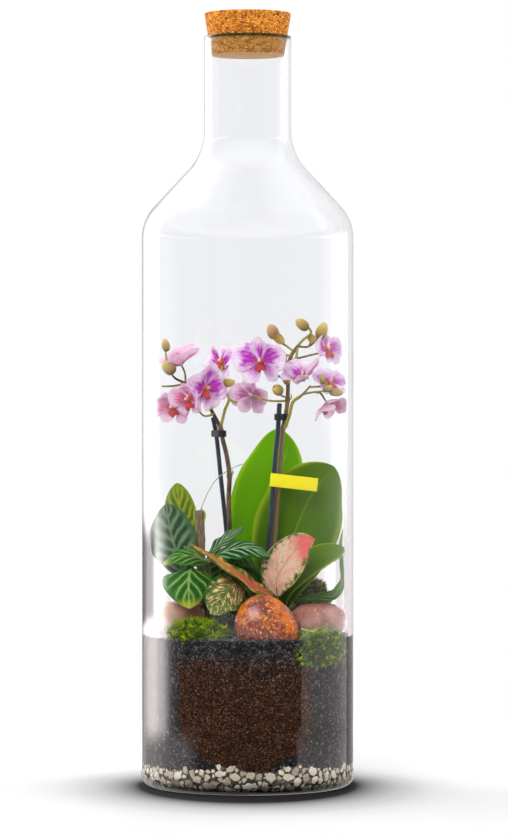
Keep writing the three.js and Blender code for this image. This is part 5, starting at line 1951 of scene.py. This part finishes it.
SPIKES = (
    Spike("flower_spike_right", (
        Twig(((19, 0, 136), (18, -2, 153), (20, -2, 179), (22.5, -2, 209), (25, -2, 243), (28.4, -2, 281.5),
              (30, -2, 303), (33.5, -2, 324), (34.3, -2, 341), (34.3, -2, 356), (38, -1, 368), (43, 0, 374.5)),
             2.5, 1.6, 0, (0.33, 0.585, 0.7, 0.8, 0.87, 0.93)),
        branch(1.2, (42, 0, 373.5), (47, 1, 379.5), (54, 2, 385.5), (52, 3, 390), (48, 4, 392)),
        branch(1.3, (34.2, -2, 347), (38, -6, 356), (41, -5, 363), (42.5, 0, 374)),
        branch(1.6, (30.5, -2, 303), (35, -8, 314), (38.5, -12, 327), (44.5, -14, 331.5)),
        bud_stalk((43.5, -14, 331), (48, -16, 333.6), (66, -20, 336), (73, -21, 335)),
        bud_stalk((43.5, -14, 331), (48, -16, 335), (53, -16, 340.5)),
        pedicel("bloom_right_1", (34, -2, 345), (26, -14, 349)),
        pedicel("bloom_right_2", (33, -2, 327.5), (18, -9, 328)),
        pedicel("bloom_right_3", (36, -2, 362), (51, 4, 366)),
        pedicel("bloom_right_4", (41, -5, 363), (49, -14, 349)),
        pedicel("bloom_right_5", (52, -16, 339.5), (62, -4, 340)),
        pedicel("bloom_right_6", (58, -18.5, 335), (62, -10, 334)),
        bud_stalk((39, -1, 370), (31, 0, 376), (24, 1, 382)),
        bud_stalk((32, 0, 375), (29, -3, 377), (27, -5, 380)),
        bud_stalk((37.5, -1, 366), (30, -6, 367), (22, -10, 368.5)),
        bud_stalk((43, 0, 374), (52, 3, 374), (61, 5, 382)),
        bud_stalk((52, 3, 374), (55, 2, 380)),
        bud_stalk((34, -2, 341), (33.5, -6, 343), (33, -8, 344.5)),
        bud_stalk((34, -2, 331), (29, -8, 332), (26, -12, 336)),
        bud_stalk((66, -20, 336), (66, -20, 341), (63, -20, 345)),
    ), (
        ((21.2, 3, 386.5), (-0.4, 0, 0.9), (5.2, 6.6)),
        ((26.8, -5, 380.5), (0.7, 0, -0.7), (4, 5.5)),
        ((21, -10, 368.8), (-0.9, 0, 0.2), (5.2, 5.8)),
        ((46.4, 4, 392.6), (-0.75, 0, 0.6), (4.6, 6.6)),
        ((63.5, 6, 387), (0.35, 0, 0.95), (5, 7.8)),
        ((55, 2, 380.6), (0.6, 0, -0.8), (3.4, 4)),
        ((33, -9, 345), (0.1, -0.9, 0.4), (3.2, 4.4)),
        ((25.4, -12, 337), (-0.6, -0.4, 0.6), (4.6, 5.2)),
        ((74, -21.5, 335), (1, 0, -0.1), (3.4, 5.8)),
        ((67.3, -21, 338.4), (0.8, 0, 0.4), (2.8, 4)),
        ((62.6, -20, 346), (-0.1, 0, 1), (2.4, 4.2)),
    )),
    Spike("flower_spike_left", (
        Twig(((13, 3, 138), (1, 5, 142), (-11, 6, 158), (-15, 4, 192), (-15.5, 3, 219), (-16.3, 1, 243),
              (-15.6, 0, 264.5), (-18, -2, 281.5), (-21.5, -3, 296), (-23.2, -4, 307)), 2.3, 1.9, 0,
             (0.45, 0.76, 0.97)),
        Twig(((-23, -4, 305), (-29, -2, 316), (-35.6, 2, 327.5), (-43.3, 6, 338.6), (-53.5, 6, 343),
              (-62, 2, 347), (-66.5, -2, 353)), 1.7, 0.9, 0, (0.35, 0.62)),
        branch(1.4, (-23, -4, 305), (-19.3, -2, 320), (-16, 0, 330), (-21, 2, 337), (-24.5, 3, 346)),
        bud_stalk((-53, 6, 343), (-62, 2, 340.5), (-73, -2, 340)),
        bud_stalk((-64, 0, 349), (-69, -1, 362), (-70.2, 0, 371)),
        bud_stalk((-21, 2, 337), (-19, 2, 341), (-17, 2, 343)),
        bud_stalk((-16, 0, 329), (-10, -2, 326.6), (-4, -1, 328)),
        pedicel("bloom_left_1", (-53, 6, 343), (-54, 8, 352)),
        pedicel("bloom_left_2", (-38, 4, 332), (-45, -6, 338)),
        pedicel("bloom_left_3", (-29, -2, 316), (-38, -26, 316)),
        pedicel("bloom_left_4", (-47, 6, 340), (-58, 2, 334)),
        pedicel("bloom_left_5", (-24, 3, 345), (-22, 16, 356)),
    ), (
        ((-70, 0, 375), (-0.2, 0, 1), (3.6, 5.6)),
        ((-67.3, -4, 356), (-0.6, 0, 0.7), (5.6, 7)),
        ((-16.5, 2, 343.2), (0.9, 0, 0.15), (3.8, 5.4)),
        ((-24.6, 3, 348), (-0.3, 0, 0.9), (2.6, 3.2)),
    )),
)


@dataclass(frozen=True)
class Orchid:
    """The moth orchid with its stakes, clips and label."""

    stakes: tuple[tuple[str, Points, float], ...] = (
        ("stake_right", ((27, -8, 325), (25, -8, 294.5), (23.5, -8, 281.5), (20, -8, 229), (17.8, -8, 207.5),
                         (14.6, -9, 158), (14, -9, ROOT_Z)), 2.1),
        ("stake_left", ((-29.6, 3, 313), (-27, 4, 299.5), (-22.8, 7, 260), (-18.6, 11, 219), (-14.3, 15, 157),
                        (-13, 16, ROOT_Z)), 1.9),
    )
    stub: Points = ((-36, -8, ROOT_Z), (-37, -11, 150), (-39.5, -20, 190), (-40.4, -22, 234))
    aerial_root: Points = ((-40, -21.5, 234.6), (-34.4, -18, 248.5), (-27, -8, 260.5), (-16, 10, 268.5),
                           (-2.5, 31, 273), (12.4, 48, 269), (28, 56, 250), (35, 54, 206), (35, 48, 150),
                           (35, 47, ROOT_Z))

    def leaves(self) -> None:
        """Builds the thick leaves and the crown that they grow from."""
        for node, (blade, finish) in ORCHID_LEAVES.items():
            shell = Shell()
            shell.blade(blade)
            place(shell.build(f"{node}_smooth", finish), "orchid_leaf", node)
        crown = Shell()
        crown.tube(((22, 2, ROOT_Z), (22, 2, 138), (22, 3, 158)), 8.8, 10.6, sides=28, steps=16)
        place(crown.build("crown_base", Palette.CROWN), "orchid_leaf", "orchid_crown")

    def supports(self) -> None:
        """Builds the stakes and dresses the clips."""
        for node, path, radius in self.stakes:
            shell = Shell()
            shell.tube(path, radius, sides=20, steps=70)
            place(shell.build(f"{node}_wire", Palette.STAKE), "stake", node)
        for node in ("clip_left", "clip_right"):
            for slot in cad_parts[node].material_slots:
                slot.material = Palette.CLIP.material()

    def stump(self) -> None:
        """Builds the stump with its bract and the thin dry root."""
        shell = Shell()
        shares = np.linspace(0, 1, 41)
        radius = 4.2 - 0.3 * shares + 0.5 * np.exp(-(((shares - 0.8) / 0.03) ** 2))
        shell.tube(self.stub, radius, sides=20, tone=0.4)
        foot = np.array([-40.2, -21.8, 226])
        for turn, rise in ((0.2, 12.5), (2.6, 10.0), (4.3, 11.0)):
            out = np.array([-math.cos(turn), -math.sin(turn), 0])
            rib = [foot + out * 3.7, foot + out * 4.6 + [0, 0, 6], foot + out * 3.4 + [0, 0, rise]]
            shell.blade(Blade(rib, [np.cross(out, [0, 0, 1])], 1.5, 0.4, foot=1.4, fold=-0.35, thickness=0.4,
                              across=10, along=14), (1, 1), 0.9)
        place(shell.build("stub_cut", Palette.STUB, Palette.BRACT), "spike", "cut_spike_stub")
        root = Shell()
        root.tube(self.aerial_root, 0.45, sides=8, steps=90, tone=0.5)
        place(root.build("root_thin", Palette.DRY_ROOT), "dry_root", "aerial_root")

    def build(self) -> None:
        """Builds the whole orchid."""
        self.leaves()
        self.supports()
        self.stump()
        for spike in SPIKES:
            spike.build()
        for bloom in BLOOMS.values():
            bloom.build()
        Label().build()


@dataclass(frozen=True)
class Label:
    """Blank yellow label, looped round the right stake. Sizes in millimetres."""

    at: Point = (22.4, -8, 260.5)
    length: float = 37.0
    height: float = 11.3
    thickness: float = 1.0
    loop: float = 3.4
    tilt: float = math.radians(6.5)

    def build(self) -> None:
        """Adds the strip and its loop, rounds their edges and joins them."""
        deselect()
        size = (self.length * MM, self.thickness * MM, self.height * MM)
        bpy.ops.mesh.primitive_cube_add(size=1, location=(size[0] / 2, (self.thickness / 2 - self.loop) * MM, 0))
        strip = bpy.context.object
        strip.dimensions = size
        bpy.ops.object.transform_apply(location=True, rotation=True, scale=True)
        bevel(0.35, 3)
        bpy.ops.mesh.primitive_cylinder_add(vertices=40, radius=self.loop * MM, depth=size[2], location=(0, 0, 0))
        loop = bpy.context.object
        bevel(0.3, 2)
        deselect()
        strip.select_set(True)
        loop.select_set(True)
        bpy.context.view_layer.objects.active = strip
        bpy.ops.object.join()
        strip.name = "label_blank"
        strip.rotation_euler = (0, self.tilt, 0)
        strip.location = tuple(v * MM for v in self.at)
        settle(strip, Palette.TAG, "tag", "plant_tag")


# ---------- Foliage ----------


@dataclass(frozen=True)
class Leaf:
    """One thin leaf: its stalk, its blade with a raised rib under it, and its finish above and below."""

    node: str
    stalk: Points
    blade: Blade
    face: StripedLeafFinish | SpeckledLeafFinish
    under: StripedLeafFinish | SpeckledLeafFinish

    def build(self) -> None:
        """Builds the leaf."""
        shell = Shell()
        shell.blade(self.blade, (0, 1))
        run_on = Track(self.blade.rib).at(np.array([0.12]))[0]
        shell.tube([*self.stalk, self.blade.rib[0], run_on], 1.2, 0.6, sides=10, steps=36, slot=2, tone=0.3)
        place(shell.build(f"{self.node}_fine", self.face, self.under, Palette.STALK), self.face.slot, self.node)


def thin(rib: Points, side: Points, width: float, **more: float) -> Blade:
    """Blade of a thin leaf."""
    return Blade(rib, side, width, **{"full": 0.75, "wave": 1.0, "across": 24, "along": 48} | more)


BACKLIT = StripedLeafFinish("striped_backlit", dark=(0.10, 0.14, 0.008), green=(0.28, 0.34, 0.012),
                            pale=(0.50, 0.52, 0.05), through=0.5, stripes=7.0, tip=(0.40, 0.52, 0.02),
                            tip_share=0.6)
BLUISH = StripedLeafFinish("striped_bluish", dark=(0.012, 0.040, 0.016), green=(0.050, 0.130, 0.048),
                           pale=(0.15, 0.26, 0.12), stripes=6.5, pale_width=0.32, through=0.15, lean=0.25)
DEEP = StripedLeafFinish("striped_deep", dark=(0.010, 0.085, 0.004), green=(0.045, 0.215, 0.010),
                         pale=(0.34, 0.56, 0.14), stripes=5.0, pale_width=0.13, tip_share=0.95, lean=0.42,
                         tip=(0.60, 0.62, 0.04))
FISHBONE = StripedLeafFinish("striped_fishbone", dark=(0.006, 0.046, 0.010), green=(0.024, 0.125, 0.024),
                             pale=(0.40, 0.60, 0.32), stripes=6.0, pale_width=0.30, lean=0.36)
SHADY = StripedLeafFinish("striped_shady", dark=(0.006, 0.032, 0.004), green=(0.020, 0.085, 0.008),
                          pale=(0.12, 0.22, 0.05), stripes=7.0, through=0.2)
PINK = SpeckledLeafFinish("speckled_pink", (0.97, 0.70, 0.52), (0.95, 0.17, 0.17), green_from=0.70, specks=0.34,
                          fineness=2.6, rib_width=0.04, rib_color=(0.70, 0.40, 0.26), blush_from=0.60)
RED = SpeckledLeafFinish("speckled_red", (0.66, 0.12, 0.10), (0.72, 0.10, 0.10), green_from=0.8, specks=0.40)
ROSE = SpeckledLeafFinish("speckled_rose", (0.84, 0.095, 0.105), (0.60, 0.42, 0.04), green_from=0.50, specks=0.45,
                          rib_color=(0.78, 0.10, 0.11), rib_width=0.24, blush_from=0.35, fineness=3.0,
                          green=(0.060, 0.170, 0.010), cream=(0.70, 0.50, 0.12))
FLECKED = SpeckledLeafFinish("speckled_green", (0.96, 0.50, 0.27), (0.92, 0.70, 0.30), green_from=0.74,
                             specks=0.51, rib_color=(0.06, 0.14, 0.02), rib_width=0.03, fineness=1.5,
                             blush_from=0.40, green=(0.020, 0.095, 0.005), cream=(0.050, 0.17, 0.012),
                             through=0.15, rim=0.0)

FOLIAGE = (
    Leaf("calathea_leaf_1", ((-43, 3, ROOT_Z), (-42, 2, 153), (-44, 2, 170)),
         thin([(-47, 2, 182), (-52, 6, 205), (-57.5, 8, 230), (-60.5, 4, 257.5)], [(1, 0.15, 0.15)],
              14.0, widest=0.62, full=0.6), BACKLIT, BACKLIT),
    Leaf("calathea_leaf_2", ((-47, -3, ROOT_Z), (-48, -5, 155), (-50, -12, 170)),
         thin([(-54, -17, 178), (-59, -20, 196), (-65, -16, 217), (-69, -9, 240)], [(0.9, -0.45, 0.15)],
              22, widest=0.5, full=0.6), BLUISH, BLUISH),
    Leaf("calathea_leaf_3", ((-40, -4, ROOT_Z), (-41, -6, 158), (-43, -17, 179)),
         thin([(-45, -27, 186), (-48, -40, 185), (-49, -51, 173), (-48, -58, 154)], [(-1, 0, 0)],
              22, widest=0.42, fold=-0.3), DEEP, SHADY),
    Leaf("calathea_leaf_4", ((-30, -12, ROOT_Z), (-31, -18, 160), (-34.5, -25, 184)),
         thin([(-35, -27, 191), (-28, -27, 202.5), (-17, -24, 212.5), (-3, -16, 221.5)], [(0.25, -0.9, -0.3)],
              10.5), FISHBONE, SHADY),
    Leaf("calathea_leaf_5", ((-26, -17, ROOT_Z), (-27, -24, 160), (-31, -31, 183)),
         thin([(-32, -34, 193), (-21.5, -38, 200), (-1.5, -44, 204.5), (19.5, -48, 197.5)], [(0.1, -0.75, -0.65)],
              10.5, fold=-0.2), FISHBONE, SHADY),
    Leaf("calathea_leaf_6", ((-21, -16, ROOT_Z), (-21, -19, 160), (-23.5, -21, 182)),
         thin([(-23, -22, 191), (-8, -28, 197), (7, -31, 188.5), (14, -32, 176)], [(0.2, -0.8, -0.5)],
              11, fold=-0.2), SHADY, SHADY),
    Leaf("calathea_leaf_7", ((-14, -3, ROOT_Z), (-14, -3, 160), (-14, -3, 186)),
         thin([(-14, -4, 195), (-15, -8, 196), (-15, -12, 178), (-13, -14, 148)], [(-1, 0, 0)],
              25, widest=0.5, full=0.55, fold=-0.2), SHADY, SHADY),
    Leaf("calathea_leaf_8", ((-33, -14, ROOT_Z), (-33, -20, 155), (-33, -28, 176)),
         thin([(-32.5, -33, 190), (-45, -35, 196.5), (-59, -35, 196.5), (-71, -32, 190)], [(0.1, 0.7, 0.7)],
              10, widest=0.45, fold=-0.15), DEEP, SHADY),
    Leaf("calathea_leaf_9", ((34, -12, ROOT_Z), (34, -14, 145)),
         thin([(38, -16, 157), (58, -12, 161), (74, -3, 163), (81.5, 6, 173), (82.5, 11, 190), (80, 10, 205),
               (82.5, 7, 218.5)], [(-0.2, -0.75, 0.6), (-0.6, -0.8, 0)], 7.5, widest=0.4, along=60),
         FISHBONE, DEEP),
    Leaf("aglaonema_leaf_1", ((25, -25, ROOT_Z), (25, -26, 148)),
         thin([(25, -31, 163), (24.5, -37, 177), (34, -41, 195), (46, -41, 208.5), (56, -37, 211.5)],
              [(0.8, -0.35, -0.4), (0.6, -0.2, -0.75)], 17.5, widest=0.45, fold=0.2, wave=0.4), PINK, RED),
    Leaf("aglaonema_leaf_2", ((20, -24, ROOT_Z), (20, -26, 148)),
         thin([(20.5, -37, 165.5), (8.5, -46, 170.5), (-10.5, -53, 184), (-31.5, -52, 198), (-49, -46, 208.5)],
              [(0, 1, 0.6), (0, 1, 0.3)], 11, widest=0.35, fold=0.1), ROSE, RED),
    Leaf("aglaonema_leaf_3", ((13, -22, ROOT_Z), (12, -25, 150)),
         thin([(-3, -40, 169), (-11, -50, 171), (-21, -56, 163), (-29, -59, 149)], [(-0.6, 0.1, 0.7)],
              17, widest=0.5, full=0.6, fold=-0.15), FLECKED, FLECKED),
    Leaf("aglaonema_leaf_4", ((8, -19, ROOT_Z), (7, -22, 150), (-4, -30, 172)),
         thin([(-17, -37, 184), (-30, -43, 192.5), (-42, -46, 197), (-53.5, -44, 206)], [(0, 1, -0.1), (0, 1, 0.2)],
              6.5), FLECKED, FLECKED),
)


# ---------- Studio ----------

# Brightness of the room by the angle from the front in degrees: as the glass mirrors it, and behind the glass.
MIRRORED = ((-180, 0.45), (-164, 0.5), (-153, 1.0), (-120, 0.4), (-85, 0.08), (-40, 0.04), (0, 0.02), (60, 0.04),
            (90, 0.05), (118, 0.12), (130, 0.28), (150, 0.55), (180, 0.7))
BEHIND = ((-180, 1.02), (-140, 1.02), (-90, 0.4), (-40, 0.06), (0, 0.02), (40, 0.06), (90, 0.3), (140, 1.02),
          (180, 1.02))

# Bright panels of the room: soft left, right, lower and upper edges, in degrees and slopes, and brightness.
ROOM = (((-120, -40), (120, 40), (-9, -8), (9, 8)), 0.85)
WINDOWS = (
    (((-159, -150), (-113, -121), (-0.040, -0.015), (2.5, 1.5)), 3.0),
    (((-163, -135), (-113, -121), (-0.046, -0.038), (-0.015, -0.045)), 1.2),
    (((-163, -135), (-113, -121), (-0.100, -0.092), (-0.062, -0.067)), 1.2),
    (((-175, -165), (-116, -124), (-0.067, -0.064), (-0.036, -0.044)), -0.75),
    (((-128, -119), (-97, -115), (-0.067, -0.064), (-0.025, -0.060)), 6.0),
    (((-159, -140), (-82, -114), (-0.100, -0.088), (2.5, 1.5)), 0.35),
    (((-150, -112), (-90, -108), (-0.100, -0.092), (-0.062, -0.067)), 4.5),
    (((-150, -112), (-76, -104), (-0.100, -0.092), (-0.062, -0.067)), 1.5),
    (((-150, -112), (-50, -76), (-0.130, -0.120), (-0.092, -0.100)), 1.5),
    (((86, 95), (122, 106), (-0.022, -0.008), (1.5, 1.0)), 0.4),
    (((59.5, 61.5), (132, 127), (-0.100, -0.090), (-0.025, -0.028)), 0.12),
    (((59.5, 61.5), (140, 134), (-0.100, -0.090), (-0.060, -0.070)), 1.0),
    (((52, 58), (140, 134), (-0.130, -0.120), (-0.092, -0.100)), 1.2),
)

# Panels of light: name, place, aim, size in metres and brightness.
PANELS = (
    ("panel_left", (-1.15, 0.75, 0.75), (0, 0, 0.25), (1.3, 1.2), 3.8),
    ("panel_right", (1.1, 0.12, 0.55), (0, 0.05, 0.25), (0.9, 0.9), 3.3),
    ("panel_front", (-0.6, -1.9, 1.5), (0, 0, 0.22), (1.2, 1.2), 7.5),
    ("panel_back", (0.25, 1.6, 0.6), (0, 0, 0.25), (1.6, 1.2), 2.6),
    ("panel_top", (-0.3, 0.1, 1.9), (0, 0, 0.2), (0.9, 0.9), 4.0),
)


@dataclass(frozen=True)
class Studio:
    """Floor, lights, backdrop and camera."""

    distance: float = 3.2
    height: float = 0.348
    focal: float = 3755.0
    axis_x: float = 247.7
    level_y: float = 377.0
    image: tuple[int, int] = (508, 840)
    sensor: float = 36.0
    dome: float = 0.9
    tint: Color = (1.0, 0.92, 0.915)

    def camera(self) -> None:
        """Puts the camera where the photograph was taken from."""
        data = bpy.data.cameras.new("camera")
        data.sensor_fit = "VERTICAL"
        data.sensor_height = self.sensor
        data.lens = self.focal / self.image[1] * self.sensor
        camera = bpy.data.objects.new("camera", data)
        bpy.context.scene.collection.objects.link(camera)
        yaw = math.atan((self.image[0] / 2 - self.axis_x) / self.focal)
        pitch = -math.atan((self.image[1] / 2 - self.level_y) / self.focal)
        look = Vector((math.sin(yaw), math.cos(yaw), math.tan(pitch)))
        camera.location = (0, -self.distance, self.height)
        camera.rotation_euler = look.to_track_quat("-Z", "Y").to_euler()
        bpy.context.scene.camera = camera

    def _panel(self, name: str, at: Point, aim: Point, size: Pair, radiance: float) -> None:
        """Adds a soft panel of light that shows in no reflection.

        Args:
            name: Name of the light.
            at: Its middle.
            aim: Point that it faces.
            size: Width and height in metres.
            radiance: Brightness of its face beside a white of 1.
        """
        data = bpy.data.lights.new(name, "AREA")
        data.shape = "RECTANGLE"
        data.size, data.size_y = size
        data.energy = radiance * math.pi * size[0] * size[1]
        light = bpy.data.objects.new(name, data)
        bpy.context.scene.collection.objects.link(light)
        light.location = at
        light.rotation_euler = (Vector(aim) - Vector(at)).to_track_quat("-Z", "Y").to_euler()
        light.visible_camera = False
        light.visible_glossy = False
        light.visible_transmission = False

    def _window(self, graph: Graph, turn: Socket, rise: Socket, spans: Sequence[Pair],
                radiance: float) -> Socket:
        """Soft-edged bright panel of the surround.

        Args:
            graph: Nodes of the surround.
            turn: Angle from the front in degrees, positive to the right.
            rise: Slope of the direction.
            spans: Soft edges, each from nothing to full: left, right, lower and upper.
            radiance: Brightness.

        Returns:
            Brightness that the panel adds.
        """
        level: Any = radiance
        for value, (empty, full) in zip((turn, turn, rise, rise), spans):
            edge = graph.ease(value, min(empty, full), max(empty, full))
            if empty > full:
                edge = graph.left(edge)
            level = graph.times(edge, level)
        return level

    def surround(self) -> None:
        """Builds the white backdrop, the dark front of the room and the soft boxes on both sides."""
        world = bpy.data.worlds.new("surround")
        bpy.context.scene.world = world
        world.use_nodes = True
        graph = Graph(world.node_tree)
        split = graph.node("SeparateXYZ", {0: graph.node("TexCoord").outputs["Generated"]}).outputs
        front = graph.times(split["Y"], -1.0)
        turn = graph.times(graph.calc("ARCTAN2", split["X"], front), 180 / math.pi)
        flat = graph.calc("SQRT", graph.plus(graph.times(split["X"], split["X"]),
                                             graph.times(split["Y"], split["Y"])))
        rise = graph.calc("DIVIDE", split["Z"], graph.calc("MAXIMUM", flat, 0.01))
        share = graph.scale(turn, 1 / 360, 0.5)
        levels = []
        for stops in (MIRRORED, BEHIND):
            color = graph.ramp(share, *((angle / 360 + 0.5, (value,) * 3) for angle, value in stops))
            levels.append(graph.node("SeparateColor", {0: color}).outputs[0])
        added: Any = graph.times(graph.ease(rise, 0.5, 1.5), 0.4)
        for spans, radiance in WINDOWS:
            added = graph.plus(added, self._window(graph, turn, rise, spans, radiance))
        path = graph.node("LightPath").outputs
        straight = graph.left(path["Glossy Depth"], clamp=True)
        room = self._window(graph, turn, rise, *ROOM)
        through = graph.plus(levels[1], graph.times(room, straight))
        level = graph.blend(path["Is Transmission Ray"], levels[0], through)
        level = graph.calc("MAXIMUM", graph.plus(level, added), 0.02)
        seen = graph.times(graph.calc("MAXIMUM", path["Is Glossy Ray"], path["Is Transmission Ray"]),
                          graph.left(path["Is Diffuse Ray"]))
        level = graph.blend(seen, self.dome, level)
        level = graph.blend(path["Is Camera Ray"], level, 1.0)
        low = graph.times(graph.left(graph.ease(rise, -0.060, -0.020)), seen)
        back = graph.node("Background", {"Color": graph.mix(low, (1.0, 1.0, 1.0), self.tint), "Strength": level})
        graph.node("OutputWorld", {0: back.outputs[0]})

    def lights(self) -> None:
        """Adds the soft panels that light the planting."""
        for panel in PANELS:
            self._panel(*panel)

    def floor(self) -> None:
        """Lays the plain pale floor."""
        deselect()
        bpy.ops.mesh.primitive_plane_add(size=3, location=(0, -0.9, 0))
        floor = bpy.context.object
        floor.name = "studio_floor"
        bpy.ops.object.transform_apply(location=True, rotation=True, scale=True)
        floor.data.materials.append(Palette.FLOOR.material())
        floor.visible_glossy = False
        floor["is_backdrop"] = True

    def build(self) -> None:
        """Builds the studio."""
        self.camera()
        self.surround()
        self.lights()
        self.floor()
        bpy.context.scene.view_settings.view_transform = "Standard"


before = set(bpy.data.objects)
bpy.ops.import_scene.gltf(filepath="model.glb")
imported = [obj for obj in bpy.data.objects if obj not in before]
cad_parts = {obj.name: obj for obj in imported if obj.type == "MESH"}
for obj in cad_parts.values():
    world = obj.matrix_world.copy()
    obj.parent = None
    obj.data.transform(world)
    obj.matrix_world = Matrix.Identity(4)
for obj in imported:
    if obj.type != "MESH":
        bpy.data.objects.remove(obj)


def main() -> None:
    """Builds every sub-assembly in order."""
    logging.basicConfig(level=logging.INFO, format="%(message)s")
    cad_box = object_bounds()
    Studio().build()
    Bottle().build()
    Cork().build()
    Layers().build()
    for stone in STONES:
        stone.build()
    for moss in MOSSES:
        moss.build()
    Orchid().build()
    for leaf in FOLIAGE:
        leaf.build()
    boxes = {"cad": cad_box, "visual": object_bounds()}
    plain = {key: [[float(v) for v in corner] for corner in box] for key, box in boxes.items()}


if __name__ == "__main__":
    main()
